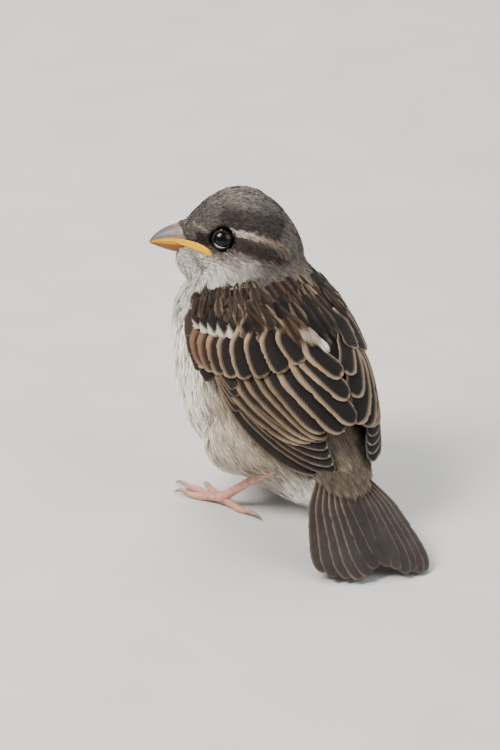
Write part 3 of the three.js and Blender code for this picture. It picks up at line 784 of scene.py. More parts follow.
REGIONS = find_regions()
COATS = {  # spacing, length, width, lift, barbs, spread of the colour, fluff
    "chin": (0.55, 2.7, 0.9, 0.55, 5, 0.1, 0.6),
    "face": (0.5, 1.8, 0.8, 0.3, 4, 0.14, 0.2),
    "brow": (0.6, 2.4, 1.0, 0.5, 5, 0.16, 0.1),
    "crown": (0.7, 3.0, 1.2, 0.7, 7, 0.17, 0.15),
    "collar": (0.85, 4.4, 1.6, 0.9, 8, 0.14, 0.0),
    "shoulder": (0.9, 3.8, 1.7, 1.3, 7, 0.12, 0.0),
    "breast": (1.15, 7.0, 2.3, 1.6, 14, 0.08, 0.3),
    "flank": (1.2, 8.0, 2.4, 1.6, 14, 0.16, 0.1),
    "belly": (1.25, 7.5, 2.5, 1.7, 12, 0.08, 0.2),
    "rump": (1.2, 7.0, 2.6, 1.4, 14, 0.16, 0.1),
}
COLLAR_CLEARANCE = 1.0  # how high the collar stands over the wings' surface


def choose(region, spacing):
    """Places in a region, about one in each cell of that spacing."""
    places = np.flatnonzero(REGIONS[region])
    cells = np.floor(ground[places] / spacing).astype(int)
    _, kept = np.unique(cells, axis=0, return_index=True)
    return places[kept]


def skin_coat(region, chosen, length, width, lift, barbs, centre, edge, clearance=None, **ways):
    """Tufts on the skin, of slightly mixed sizes; with a clearance, they lie over the coverts."""
    sizes = RNG.uniform(0.85, 1.15, len(chosen))
    paths, ups = skin_paths(ground[chosen], ground_normals[chosen], length * sizes)
    if clearance is not None:
        paths = draped(paths, clearance)
    lifts = lift * RNG.uniform(0.7, 1.25, len(chosen))
    coat_piece(f"coat_{region}", paths, ups, width * sizes, lifts, barbs, centre, edge, **ways)


def grow_coat():
    for region, (spacing, length, width, lift, barbs, spread, fluff) in COATS.items():
        chosen = choose(region, spacing)
        base = marking(ground[chosen]) * RNG.normal(1, spread, (len(chosen), 1))
        edge = base * RNG.normal(1.1, 0.07, (len(chosen), 1))
        clearance = COLLAR_CLEARANCE if region == "collar" else None
        skin_coat(region, chosen, length, width, lift, barbs, base, edge, clearance, fluff=fluff)


def grow_mantle():
    chosen = choose("mantle", 1.7)
    column = (len(chosen), 1)
    warm = RNG.random(column)
    edge = np.where(warm < 0.4, CHESTNUT, np.where(warm < 0.75, BUFF, SOOT)) * RNG.normal(1, 0.15, column)
    centre = np.where(RNG.random(column) < 0.75, BLACK, BROWN)
    skin_coat("mantle", chosen, 6.5, 3.4, 1.6, 28, centre, edge, sweep=0.3)


def grow_arms():
    """Short dark feathers under the rows on the wing's arm, so that nothing shows between them."""
    chosen = choose("arm", 1.3)
    base = mix(SOOT, BROWN, 0.5)
    skin_coat("arm", chosen, 4.2, 2.6, 0.7, 12, base, base)


# ---- Rows of small feathers ----
MANTLE_COLOURS = [
    (BLACK, SOOT), (SOOT, mix(BUFF, RUFOUS, 0.2)), (SOOT, BROWN), (SOOT, mix(RUFOUS, BROWN, 0.6)),
    (BLACK, BROWN), (SOOT, mix(BROWN, BUFF, 0.5)),
]
LESSER_COLOURS = [(SOOT, BROWN), (BROWN, CHESTNUT), (SOOT, CHESTNUT), (BROWN, mix(BROWN, BUFF, 0.4))]
BACK_ROWS, BACK_COUNT = 7, 11
# The first feather of each row, the last one, and the counts; each is root along the surface and
# degrees, then tip along it and degrees.
LESSER = (
    [(0.075, 71, 0.13, 74), (0.09, 75, 0.15, 77), (0.108, 76, 0.17, 78), (0.134, 73, 0.192, 75)],
    [(0.078, 30, 0.135, 30), (0.095, 29, 0.16, 29), (0.125, 28, 0.195, 28), (0.185, 27, 0.26, 27)],
    (15, 15, 16, 15),
)
SCAPULAR = (
    [(0.12, 34, 0.215, 34), (0.16, 31, 0.255, 30), (0.2, 26, 0.3, 25), (0.235, 17, 0.345, 16)],
    [(0.12, 4, 0.215, 3), (0.16, 3, 0.26, 2), (0.2, 3, 0.305, 2), (0.24, 4, 0.35, 3)],
    (6, 6, 5, 3),
)
BRIDGE = (
    [(0.19, 47, 0.255, 47), (0.21, 40, 0.28, 40)],
    [(0.2, 27, 0.285, 27), (0.22, 25, 0.305, 24)],
    (6, 5),
)
TAIL_COVERTS = (
    [(0.42, -22, 0.56, -15), (0.36, -20, 0.5, -14), (0.3, -18, 0.44, -13)],
    [(0.42, 22, 0.56, 15), (0.36, 20, 0.5, 14), (0.3, 18, 0.44, 13)],
    (7, 7, 6),
)
# The same for single feathers, with how pale each is.
BLOTCH = [(0.272, 11.5, 0.35, 10.5, 0.1), (0.285, 7, 0.36, 6, 0.2), (0.322, 4, 0.38, 3.4, 0.75)]


def rows_of(first, last, counts):
    """Places in rows, evenly spaced from the first of each to its last."""
    return np.array([mix(a, b, i / max(1, count - 1))
                     for a, b, count in zip(first, last, counts) for i in range(count)])


def wing_rows(name, side, surface, piece, rows, width, lift, barbs, colours):
    """Rows of small feathers on a wing, each with its colours picked from pairs of centre and edge."""
    jitter = np.random.default_rng(SEED + side).normal(0, (0.01, 1.4, 0.01, 1.4), rows.shape)
    places, count = rows + jitter, len(rows)
    paths, ups = surface_paths(surface, places[:, :2], places[:, 2:], lift[0])
    paths = paths + ups * np.linspace(0, lift[1], count)[:, None, None]
    picked = np.array(colours)[RNG.integers(0, len(colours), count)] * RNG.normal(1, 0.14, (count, 1, 1))
    sizes = RNG.uniform(0.9, 1.1, count)
    coat_piece(f"{piece}_{name}", paths, ups, width * sizes, 0.5, barbs, picked[:, 0], picked[:, 1],
               sweep=0.6)


def grow_wing_coats(name, side):
    grow = partial(wing_rows, name, side, wing_surface(name, side))
    grow("coat_lesser", rows_of(*LESSER), 2.7, (-0.5, 3.3), 38, LESSER_COLOURS)
    grow("coat_scapular", rows_of(*SCAPULAR), 4.2, (1.1, 1.9), 52, MANTLE_COLOURS)
    grow("coat_bridge", rows_of(*BRIDGE), 3.4, (2.6, 0.3), 44, MANTLE_COLOURS)


def grow_back():
    """The long feathers between the wings, from the neck to the tertials."""
    begin, turn = 0.075 + 0.045 * np.arange(BACK_ROWS), 2.0 * (-1.0) ** np.arange(BACK_ROWS)
    rows = rows_of([(s, t - 36, s + 0.09, t - 35) for s, t in zip(begin, turn)],
                   [(s, t + 36, s + 0.09, t + 35) for s, t in zip(begin, turn)], (BACK_COUNT,) * BACK_ROWS)
    wing_rows("middle", 0, wing_point, "coat_back", rows, 4.4, (-0.7, 2.0), 46, MANTLE_COLOURS)


def grow_blotch():
    """The pale scapulars of the left side."""
    places = np.array(BLOTCH)
    paths, ups = surface_paths(wing_surface("left", 1), places[:, :2], places[:, 2:4], 3.1)
    pale = mix(BUFF, WHITE, places[:, 4:])
    coat_piece("coat_blotch", paths, ups, 2.4, 0.6, 30, pale, pale)


def grow_tail_coverts():
    upper = rows_of(*TAIL_COVERTS)
    upper[:, ::2] -= 0.1 * (upper[:, 1:2] / 22) ** 2
    lower = upper + np.array([0.02, 0, 0.1, 0])
    count = len(upper)
    for name, places, lift, base in (("upper", upper, 1.6, RUMP), ("lower", lower, -1.6, VENT)):
        paths, ups = surface_paths(tail_point, places[:, :2], places[:, 2:], lift, under=lift < 0)
        edge = base * RNG.normal(0.8, 0.07, (count, 1))
        centre = mix(base, RUMP_DARK, 0.6) * 0.8 if lift > 0 else base
        centre = centre * RNG.normal(1, 0.08, (count, 1))
        coat_piece(f"tail_coverts_{name}", paths, ups, 3.6, 0.6, 30, centre, edge, sweep=0.45)


grow_coat()
grow_mantle()
grow_arms()
for name, side in WINGS:
    grow_wing_coats(name, side)
grow_back()
grow_blotch()
grow_tail_coverts()
skin = make_object("skin", skin_points, skin_triangles, {"marking": marking(skin_points)},
                   unwrap(skin_points))
finish_piece(skin, skin_material, "plumage", *FLESH)


# ---- Large feathers: coverts, flight feathers and tail ----
VANE_THICKNESS = 0.1
SHINGLE = 0.13  # how much a feather is tilted, so that its outer edge lies on its neighbour
CAMBER = 0.2  # how high the middle of a feather stands over its edges
SHAFT_WIDTH = 0.14
SPLITS, SPLIT_WIDTH = 4, 0.016  # in the edges of each feather, the width as a share of its length


def vane_profile(t, pointed):
    """Half width along a feather as a share of its widest: pointed is 0 for round tips."""
    base = mix(0.35, 1, smooth(0, 0.4, t))
    start = 0.86 - 0.22 * pointed
    past = np.clip((t - start) / (1 - start), 0, 1)
    return base * np.sqrt(np.maximum(0, 1 - past ** (2.2 - 0.6 * pointed)))


def frayed(offset, t, u, amount):
    """The edges of a vane, a little uneven and split here and there."""
    uneven = amount * RNG.normal(0, 0.35, offset.shape)
    for _ in range(SPLITS):
        at, outer = RNG.uniform(0.45, 0.97), RNG.choice((-1, 1))
        split = np.exp(-((t - at) / SPLIT_WIDTH) ** 2)[:, None] * (np.sign(u) == outer)
        uneven = uneven - 2.5 * amount * RNG.random() * split
    return offset * (1 + uneven * smooth(0.6, 1.0, np.abs(u)))


def plain_centre(t, offset, half, length, margins):
    """Millimetres inside the dark centre: margins are those of the outer edge, inner edge and tip."""
    outer, inner, end = margins
    grown = outer * (1 + 0.8 * (1 - smooth(0, 0.75, t)))[:, None]
    sides = np.minimum(half[:, None] - grown - offset, half[:, None] - inner + offset)
    return np.minimum(sides, ((1 - t) * length - end)[:, None])


def toothed_centre(t, offset, half, length, margins):
    """A white feather with a dark base that runs out into a point."""
    return half[:, None] * np.minimum(2.2 * (1 - t[:, None] / 0.86), 1.3) - np.abs(offset)


def shell_faces(rows, columns):
    """The faces of a thin closed shell: a grid, the same grid turned over, and the border between."""
    size = rows * columns
    upper = grid_faces(rows, columns)
    rim = np.concatenate([np.arange(columns), np.arange(1, rows) * columns + columns - 1,
                          (rows - 1) * columns + np.arange(columns - 2, -1, -1),
                          np.arange(rows - 2, 0, -1) * columns])
    after = np.roll(rim, -1)
    border = np.stack([rim, rim + size, after + size, after], -1)
    return np.concatenate([upper, upper[:, ::-1] + size, border])


def vane(surface, outward, root, tip, half_width, lift, centre, edge, end=None, margins=(0.6, 0.3, 0.4),
         pointed=0.0, bow=0.0, fray=0.05, rows=34, columns=15, pattern=plain_centre, tilt=SHINGLE):
    """One feather on a surface, as a thin closed shell with its pattern in attributes."""
    t = 1 - (1 - np.linspace(0, 1, rows)) ** 1.3
    u = np.linspace(-1, 1, columns)
    along = mix(root[0], tip[0], t)
    around = mix(root[1], tip[1], t) + bow * np.sin(np.pi * t)
    spine = surface(along, around, lift)
    up = unit(surface(along, around, lift + 1) - spine)
    ahead = unit(np.gradient(spine, axis=0))
    across = unit(np.cross(ahead, up)) * outward
    length = np.linalg.norm(np.diff(spine, axis=0), axis=1).sum()
    half = half_width * vane_profile(t, pointed)
    offset = frayed(u[None, :] * half[:, None], t, u, fray)
    height = CAMBER * (1 - u[None, :] ** 2) + tilt * offset
    ragged = (RNG.normal(0, 1.6 * fray, columns) * smooth(0.7, 1, t)[:, None])[..., None] * ahead[:, None]
    top = spine[:, None] + across[:, None] * offset[..., None] + up[:, None] * height[..., None] + ragged
    points = np.concatenate([top.reshape(-1, 3), (top - up[:, None] * VANE_THICKNESS).reshape(-1, 3)])

    shaft = 0.5 * np.exp(-(offset / SHAFT_WIDTH) ** 2)[..., None] * np.ones(3)
    end = edge if end is None else end
    rim_colour = mix(edge, end, smooth(0.75, 0.95, t)[:, None, None]) * RNG.normal(1, 0.06)
    values = {
        "inside": pattern(t, offset, half, length, margins),
        "barb": t[:, None] * length - 1.3 * np.abs(offset) + RNG.uniform(0, 50),
        "centre_colour": mix(centre * RNG.normal(1, 0.08), BLACK, shaft),
        "edge_colour": rim_colour * np.ones((1, columns, 1)),
    }
    values = {key: np.concatenate([v.reshape(rows * columns, -1)] * 2).squeeze()
              for key, v in values.items()}
    return points, shell_faces(rows, columns), values, grid_uv(u * 0.5 + 0.5, t)


def joined(parts):
    """The points of parts as one list, and their faces, numbered on from part to part."""
    starts = np.cumsum([0] + [len(part[0]) for part in parts[:-1]])
    faces = [part[1] + start for part, start in zip(parts, starts)]
    return np.concatenate([part[0] for part in parts]), np.concatenate(faces)


def join_vanes(name, vanes, slot, *nodes):
    """Feathers as one mesh, each face of each with an island of its own in the bake map."""
    columns = math.ceil(math.sqrt(len(vanes) * 2.5))
    lines = math.ceil(2 * len(vanes) / columns)
    uv = []
    for island in range(2 * len(vanes)):
        cell = np.array([island % columns, island // columns])
        uv.append((cell + 0.06 + 0.88 * vanes[island // 2][3]) / np.array([columns, lines]))
    values = {key: np.concatenate([v[2][key] for v in vanes]) for key in vanes[0][2]}
    finish_piece(make_object(name, *joined(vanes), values, np.concatenate(uv)), vane_material, slot, *nodes)


def series(count, first, last):
    return list(rows_of([first], [last], [count]))


# Places on the wing: along it from 0 to 1 and degrees from the back, outermost feather first.
PRIMARY_TIPS = [(0.718, 55.6), (0.741, 39), (0.708, 36), (0.674, 33.6), (0.641, 31.4), (0.61, 29.4)]
PRIMARY_ROOTS = series(6, (0.31, 71.4), (0.33, 58.7))
SECONDARY_TIPS = [(0.6, 42.3), (0.602, 38), (0.6, 33.7), (0.607, 28.3), (0.588, 27.3)]
SECONDARY_ROOTS = series(5, (0.3, 64.8), (0.31, 41.7))
TERTIAL_TIPS = [(0.604, 13), (0.588, 1.3), (0.512, 0.6), (0.447, -0.5)]
TERTIAL_ROOTS = [(0.31, 34.3), (0.32, 26.9), (0.31, 20.6), (0.31, 13.2)]
COVERT_TIPS = [(0.33, 74.5), (0.344, 70.3), (0.357, 65.1), (0.372, 59.3), (0.385, 52.4), (0.392, 43.4),
               (0.394, 32.3), (0.38, 19.5)]
COVERT_ROOTS = series(8, (0.21, 74.9), (0.25, 20.5))
MEDIAN_TIPS = [(0.222, 71.5), (0.238, 66.5), (0.252, 61.5), (0.262, 55.9), (0.27, 50.2), (0.279, 43.5),
               (0.3, 35.3)]
MEDIAN_ROOTS = series(7, (0.155, 72.7), (0.21, 28.6))
PRIMARY_COVERTS = [((0.33, 69.3), (0.459, 68.3)), ((0.33, 68.2), (0.44, 65.5)),
                   ((0.325, 67.1), (0.42, 63.3)), ((0.32, 66), (0.4, 62.2))]
ALULA = [((0.26, 80), (0.365, 76.4)), ((0.25, 81), (0.334, 80)), ((0.2, 80), (0.29, 81)),
         ((0.16, 79), (0.24, 80.5))]
TERTIAL_PARTING = {"left": 0, "right": 6}  # degrees: the left wing's tertials lie over the right's
WHITE_COUNT = 5  # median coverts with white ends
TAIL_TIPS = [(0.985, -15.5), (1.0, -13.2), (0.99, -10.8), (1.0, -8.3), (0.97, -5.8), (0.95, -3.0),
             (0.955, 1.6), (0.99, 4.6), (1.0, 7.6), (0.985, 11), (0.97, 15), (0.93, 18.6)]


def apart(places, degrees):
    """Places moved outwards, those nearest the middle of the back most."""
    return [(along, around + degrees * smooth(38, 8, around)) for along, around in places]


def wing_vanes(name, outward):
    """The flight feathers and the coverts of one wing."""
    feather = partial(vane, wing_surface(name, outward), outward)
    parting = TERTIAL_PARTING[name]
    flight, coverts = [], []
    small = dict(rows=20, columns=11)
    for i, ends in enumerate(zip(PRIMARY_ROOTS, PRIMARY_TIPS)):
        flight.append(feather(*ends, 2.9, 0.1 + 0.17 * i, SOOT, mix(BUFF, BROWN, 0.3), PALE_EDGE,
                              margins=(0.27, 0.1, 0.45), pointed=0.6, bow=4 if i == 0 else 5, fray=0.02))
    for i, ends in enumerate(zip(SECONDARY_ROOTS, SECONDARY_TIPS)):
        flight.append(feather(*ends, 2.8, 1.05 + 0.12 * i, SOOT, mix(RUFOUS, BUFF, 0.6) * 0.72, BUFF,
                              margins=(0.8, 0.15, 0.3), pointed=0.35, bow=6 - i, fray=0.03))
    for i, ends in enumerate(zip(apart(TERTIAL_ROOTS, parting), apart(TERTIAL_TIPS, parting))):
        flight.append(feather(*ends, 3.3 - 0.2 * i, 1.85 - 0.09 * parting + 0.2 * i, BLACK,
                              mix(BUFF, RUFOUS, 0.3), BUFF, margins=(1.0, 0.5, 0.6), pointed=0.1, bow=3))
    for i, ends in enumerate(PRIMARY_COVERTS):
        coverts.append(feather(*ends, 1.6, 1.3 + 0.15 * i, SOOT, BUFF, margins=(0.25, 0.12, 0.2),
                               fray=0.03, **small))
    for i, ends in enumerate(ALULA):
        coverts.append(feather(*ends, 1.8, 0.9 + 0.15 * i, mix(BLACK, BROWN, i / 3), BUFF,
                               margins=(0.12, 0.08, 0.15), fray=0.03, **small))
    for i, ends in enumerate(zip(COVERT_ROOTS, COVERT_TIPS)):
        warm = smooth(4, 0, i)
        coverts.append(feather(*ends, 2.1 + 0.08 * i, 1.3 + 0.7 * smooth(0, 3, i) + 0.08 * i,
                               mix(BLACK, BROWN, 0.6 * warm), mix(mix(BUFF, RUFOUS, 0.3), RUFOUS, warm),
                               BUFF, margins=(0.75 + 0.45 * warm, 0.3 + 0.3 * warm, 0.45), bow=2, fray=0.08,
                               rows=26, columns=13))
    for i, ends in enumerate(zip(MEDIAN_ROOTS, MEDIAN_TIPS)):
        white = i < WHITE_COUNT
        colours = (BLACK, CREAM * 0.6) if white else (BROWN, mix(CHESTNUT, BUFF, 0.4))
        coverts.append(feather(*ends, 1.8, 1.6 + 0.7 * smooth(0, 3, i) + 0.04 * i, *colours, fray=0.14,
                               pattern=toothed_centre if white else plain_centre, **small))
    return flight, coverts


def make_tail():
    vanes = []
    half = (len(TAIL_TIPS) - 1) / 2
    for i, tip in enumerate(TAIL_TIPS):
        share = (i - half) / half
        root = (TAIL["begin"], share * TAIL["root_fan"])
        lift = 0.24 * (half - abs(i - half))
        vanes.append(vane(tail_point, int(np.sign(share)), root, tip, TAIL["half_width"], lift,
                          TAIL_BROWN * RNG.normal(1, 0.1), mix(BUFF, RUMP, 0.3) * 0.8,
                          margins=(0.22, 0.06, 0.15), pointed=0.35, fray=0.04, rows=60, tilt=-0.06))
    join_vanes("rectrices", vanes, "tail_feathers", "tail")


for name, outward in WINGS:
    flight, coverts = wing_vanes(name, outward)
    join_vanes(f"remiges_{name}", flight, "flight_feathers", f"flight_feathers_{name}")
    join_vanes(f"coverts_{name}", coverts, "wing_coverts")
make_tail()


# ---- Bill ----
BILL = [  # y, top, bottom, half width
    (9.5, 4.3, -5.0, 4.1), (13, 4.2, -4.5, 4.0), (15.4, 3.5, -3.9, 3.35), (18, 2.7, -3.2, 2.5),
    (20.2, 1.6, -2.4, 1.6), (21.8, 0.3, -1.7, 0.85), (22.75, -0.85, -1.3, 0.12),
]
MOUTH = [(9.5, -3.3), (10.4, -2.9), (13.2, -1.7), (15.4, -1.0), (18.2, -0.75), (21.5, -0.95), (22.75, -1.2)]
NOSTRIL_Y, NOSTRIL_Z, NOSTRIL_LONG, NOSTRIL_HIGH = 15.9, 1.7, 0.75, 0.42
BILL_GAP = 0.05  # from the mouth's line to either mandible
NASAL_COUNT = 260


def mouth_at(y):
    return np.interp(y, *np.array(MOUTH).T)


def upper_bill_colour(y, z, t):
    """Grey horn over a yellow cutting edge; t is 0 at the mouth and 1 on the ridge."""
    colour = paint(YELLOW, HORN, smooth(0.12, 0.36, t))
    colour = paint(colour, PINK_HORN, smooth(17.5, 15, y) * smooth(0.3, 0.6, t) * 0.45)
    colour = paint(colour, HORN_DARK, smooth(0.75, 1.0, t) * 0.6 * (1 - smooth(14, 22, y) * 0.6))
    # The nostril is painted black on the closed horn: painted shade for its opening.
    nostril = np.hypot((y - NOSTRIL_Y) / NOSTRIL_LONG, (z - NOSTRIL_Z) / NOSTRIL_HIGH)
    return paint(colour, BLACK, (1 - smooth(0.3, 1.3, nostril)) * 0.9)


def lower_bill_colour(y, z, t):
    # The mandible's own yellow by the mouth turns orange towards its underside; that orange and the amber
    # patch towards the tip are partly its own colour and partly painted shade on the underside.
    patch = np.exp(-(((y - 18.6) / 1.9) ** 2 + ((t - 0.6) / 0.35) ** 2))
    return paint(paint(YELLOW, ORANGE, smooth(0.04, 0.34, t)), AMBER, patch * 0.7)


def mandible(name, upper, slot, node):
    rows, columns = 64, 33
    y, top, bottom, wide = catmull(BILL, np.linspace(0, 1, rows)).T[..., None]
    mouth = mouth_at(y)
    end = top if upper else bottom
    gap = BILL_GAP if upper else -BILL_GAP
    angle = np.linspace(0, np.pi, columns)
    x = wide * np.cos(angle) * (1.0 if upper else 0.93)
    rise = np.sin(angle) ** (0.92 if upper else 0.8)
    z = mouth + gap + (end - mouth - gap) * rise
    points = np.concatenate([np.stack(np.broadcast_arrays(x, y, height), -1).reshape(-1, 3)
                             for height in (z, mouth + gap)])
    outer = grid_faces(rows, columns)[:, [0, 3, 2, 1]]
    faces = np.concatenate([outer, outer[:, ::-1] + rows * columns])
    if not upper:
        faces = faces[:, ::-1]
    t = np.abs(z - mouth) / np.maximum(np.abs(end - mouth), 0.3)
    colour = (upper_bill_colour if upper else lower_bill_colour)(y, z, t)
    colour = np.clip(np.concatenate([colour.reshape(-1, 3)] * 2), 0, 1)
    plan = grid_uv(np.linspace(0.02, 0.48, columns), np.linspace(0.02, 0.98, rows))
    uv = np.concatenate([plan, plan + (0.5, 0)])
    obj = make_object(name, from_head(points), faces, {"marking": colour}, uv)
    finish_piece(obj, horn_material, slot, node)


def grow_nasal_tufts():
    """Short feathers that lie forward over the base of the upper bill, longest along its ridge."""
    turn = np.radians(RNG.uniform(12, 168, NASAL_COUNT))
    ridge = np.sin(turn)
    start = RNG.uniform(11.6, 13.5, NASAL_COUNT) + 0.5 * ridge
    y = start[:, None] + (0.6 + 1.5 * ridge**2)[:, None] * np.linspace(0, 1, STEPS)
    _, top, _, wide = (np.interp(y, np.array(BILL)[:, 0], column) for column in np.array(BILL).T)
    mouth = mouth_at(y)
    outward = np.stack([np.cos(turn), np.zeros(NASAL_COUNT), ridge], -1)
    spine = np.stack([wide * np.cos(turn)[:, None], y, mouth + (top - mouth) * ridge[:, None]], -1)
    paths = from_head(spine + outward[:, None] * 0.12)
    ups = np.repeat((outward @ HEAD_AXES.T)[:, None], STEPS, 1)
    base = marking(paths[:, 0]) * RNG.normal(1, 0.14, (NASAL_COUNT, 1))
    coat_piece("coat_nasal", paths, ups, 0.6, 0.2, 5, base, base * 1.15)


mandible("mandible_upper", True, "bill_horn_upper", "bill_upper")
mandible("mandible_lower", False, "bill_horn_lower", "bill_lower")
grow_nasal_tufts()


# ---- Gape and eyes ----
GAPE_PATH = [(3.2, 16.6, -0.5), (4.3, 14.6, -0.75), (5.6, 12.4, -1.2), (7.2, 10.0, -1.9), (8.3, 8.3, -2.8),
             (8.6, 7.5, -3.5)]
GAPE_RADII = (0.2, 0.42, 0.55, 0.6, 0.55, 0.32)
GAPE_OPENING = 0.38 * np.array([0.3, 0.8, 1, 1, 0.8, 0.1])  # of each lip from the middle, along the path
LIDS = [(0.03, 0.11, -0.03, 1.0), (0.25, 0.17, 0.14, 0.1)]  # past the opening, radius, sink, paleness
LID_POINTS, LID_ROWS = 41, 96


def rod(points, radii, colour, facets, rows, flat=1.0, relief=None):
    """A round bar along points: points, faces, colours and bake places, with radii along it."""
    t = np.linspace(0, 1, rows)
    angle = np.linspace(0, 2 * np.pi, facets, endpoint=False)
    spine = catmull(points, t)
    ahead = unit(np.gradient(spine, axis=0))
    side = unit(np.cross(ahead, np.where(np.abs(ahead[:, 2:]) > 0.92, (0, 1, 0), (0, 0, 1))))
    up = np.cross(side, ahead)
    radius = catmull(np.asarray(radii, float)[:, None], t) * np.ones(facets)
    if relief is not None:
        radius = radius * relief(t[:, None], angle[None, :])
    ring = spine[:, None] + side[:, None] * (radius * np.cos(angle))[..., None]
    ring = ring + up[:, None] * (radius * flat * np.sin(angle))[..., None]
    points = np.concatenate([ring.reshape(-1, 3), spine[:1], spine[-1:]])
    j = np.arange(facets)
    k = (j + 1) % facets
    last = (rows - 1) * facets
    start, end = np.full(facets, rows * facets), np.full(facets, rows * facets + 1)
    faces = np.concatenate([halves(grid_faces(rows, facets, wrap=True)), np.stack([start, k, j], -1),
                            np.stack([end, last + j, last + k], -1)])
    if callable(colour):
        colour = colour(t[:, None], angle[None, :])
    shade = np.broadcast_to(colour, (rows, facets, 3))
    shade = np.concatenate([shade.reshape(-1, 3), shade[0, :1], shade[-1, :1]])
    plan = np.concatenate([grid_uv(angle / (2 * np.pi), t), [[0.5, 0], [0.5, 1]]])
    return points, faces, shade, plan


def join_rods(name, rods, material, slot, *nodes):
    colour = np.clip(np.concatenate([part[2] for part in rods]), 0, 1)
    uv = [(part[3] * 0.94 + 0.03 + (k, 0)) / (len(rods), 1) for k, part in enumerate(rods)]
    obj = make_object(name, *joined(rods), {"marking": colour}, np.concatenate(uv))
    finish_piece(obj, material, slot, *nodes)


def make_gape(name, side):
    """The two soft lips at the corner of the bill."""
    lips = []
    # The lower lip gets 0.94 of the yellow: painted shade under the upper lip.
    for way, pale in ((1, 1.0), (-1, 0.94)):
        path = np.array(GAPE_PATH) * (side, 1, 1)
        path[:, 2] += way * GAPE_OPENING
        lips.append(rod(from_head(path), GAPE_RADII, YELLOW * pale, 14, 36))
    join_rods(f"gape_flange_{name}", lips, gape_material, "gape_flange", f"gape_{name}")


def make_eyeball(name, side):
    rows, columns = 40, 56
    polar, turn = np.linspace(0, np.pi, rows), np.linspace(0, 2 * np.pi, columns, endpoint=False)
    outwards, ring = side * np.cos(polar)[:, None], np.sin(polar)[:, None]
    local = np.stack(np.broadcast_arrays(outwards, ring * np.cos(turn), ring * np.sin(turn)), -1)
    points = local.reshape(-1, 3) * EYE_RADIUS + (side * EYE_OUT, EYE_Y, EYE_Z)
    faces = grid_faces(rows, columns, wrap=True)[:, [0, 3, 2, 1]]
    if side < 0:
        faces = faces[:, ::-1]
    rim = np.repeat(smooth(0.3, 0.8, np.sin(polar)), columns)
    uv = grid_uv(turn / (2 * np.pi), polar / np.pi) * 0.96 + 0.02
    obj = make_object(f"eyeball_{name}", from_head(points), faces, {"rim": rim}, uv)
    finish_piece(obj, eye_material, "eye", f"eye_{name}")


def beads(t, angle):
    """The small folds round a lid."""
    return 1 + 0.07 * np.sin(t * 150) * np.cos(angle)


def make_lids(name, side):
    """A bare inner ring, pale below, and a darker fold round it."""
    out = EYE_OUT + math.sqrt(EYE_RADIUS**2 - EYE_OPENING**2)
    turn = np.linspace(0, 2 * np.pi, LID_POINTS)
    lower = np.clip(-2.2 * np.sin(turn) - 0.7, 0, 1)
    rings = []
    for past, thickness, sink, pale in LIDS:
        radius = EYE_OPENING + past
        path = np.stack([np.full(LID_POINTS, side * (out - sink)), LIDS_Y + radius * np.cos(turn),
                         LIDS_Z + radius * np.sin(turn)], -1)
        shade = catmull(paint(EYE_STRIPE * 0.7, LID_PALE, lower * pale), np.linspace(0, 1, LID_ROWS))
        rings.append(rod(from_head(path), thickness * (0.85 + 0.3 * lower), shade[:, None], 10, LID_ROWS,
                         relief=beads))
    join_rods(f"eyelids_{name}", rings, lid_material, "leg_skin")


for name, side in (("left", -1), ("right", 1)):
    make_gape(name, side)
    make_eyeball(name, side)
    make_lids(name, side)


# ---- Legs ----
LEGS = {
    "left": dict(side=-1, ankle=(-9.8, -19, 14.6), foot=(-14, -2, 2.1), turn=2),
    "right": dict(side=1, ankle=(9.8, -18, 14.2), foot=(12.8, 0, 2.1), turn=8),
}
SHANK_RADII = (1.1, 1.5, 1.12, 0.98, 1.1, 1.32)
# Spread in degrees, length, length of the claw, scutes and joints.
TOES = {"inner": (-20, 9.5, 4.2, 9, 2), "middle": (0, 13, 4.8, 12, 3), "outer": (18, 9.5, 4.2, 9, 2),
        "hind": (180, 8, 6, 9, 2)}
TOE_RADII = 0.98 * np.array([1.12, 1.0, 1.05, 0.92, 1.0, 0.9, 0.62])
CLAW_RADII = (0.62, 0.55, 0.36, 0.06)
BALL_RADII = (0.9, 1.6, 1.6, 1.0)


def scutes(count, depth):
    """Overlapping plates along a leg or toe: each rises towards its end and drops to the next."""
    def relief(t, angle):
        step = (t * count) % 1.0
        front = 0.35 + 0.65 * np.clip(np.sin(angle), 0, 1)
        return 1 + depth * (smooth(0, 0.75, step) * smooth(1.0, 0.86, step)) * front
    return relief


def scaled_colour(count):
    """Pink skin, paler underneath, with a dark line at the end of each plate."""
    def colour(t, angle):
        line = smooth(0.86, 0.97, (t * count) % 1.0)
        pale = np.clip(-np.sin(angle), 0, 1)
        return paint(paint(LEG_PINK, LEG_PALE, pale * 0.6 + 0 * t), LEG_DARK, line * (1 - 0.5 * pale))
    return colour


def claw_colour(t, angle):
    return paint(CLAW, CLAW_TIP, smooth(0.35, 1, t) + 0 * angle)


def make_toe(foot, angle, length, claw, plates, joints):
    """A toe that lies on the floor, and its claw, as two rods."""
    ahead = (-math.sin(angle), math.cos(angle))

    def at(distance, height):
        return np.array([foot[0] + ahead[0] * distance, foot[1] + ahead[1] * distance, height])

    bones = [at(length * t, mix(1.35, 0.86, t) + 0.18 * math.sin(math.pi * joints * t))
             for t in np.linspace(-0.03, 1.06, len(TOE_RADII))]
    base = length + 0.5
    hook = [at(base, 0.85), at(base + 0.3 * claw, 1.3), at(base + 0.7 * claw, 1.15), at(base + claw, 0.4)]
    toe = rod(bones, TOE_RADII, scaled_colour(plates), 20, 110, flat=0.86, relief=scutes(plates, 0.08))
    return toe, rod(hook, CLAW_RADII, claw_colour, 14, 36)


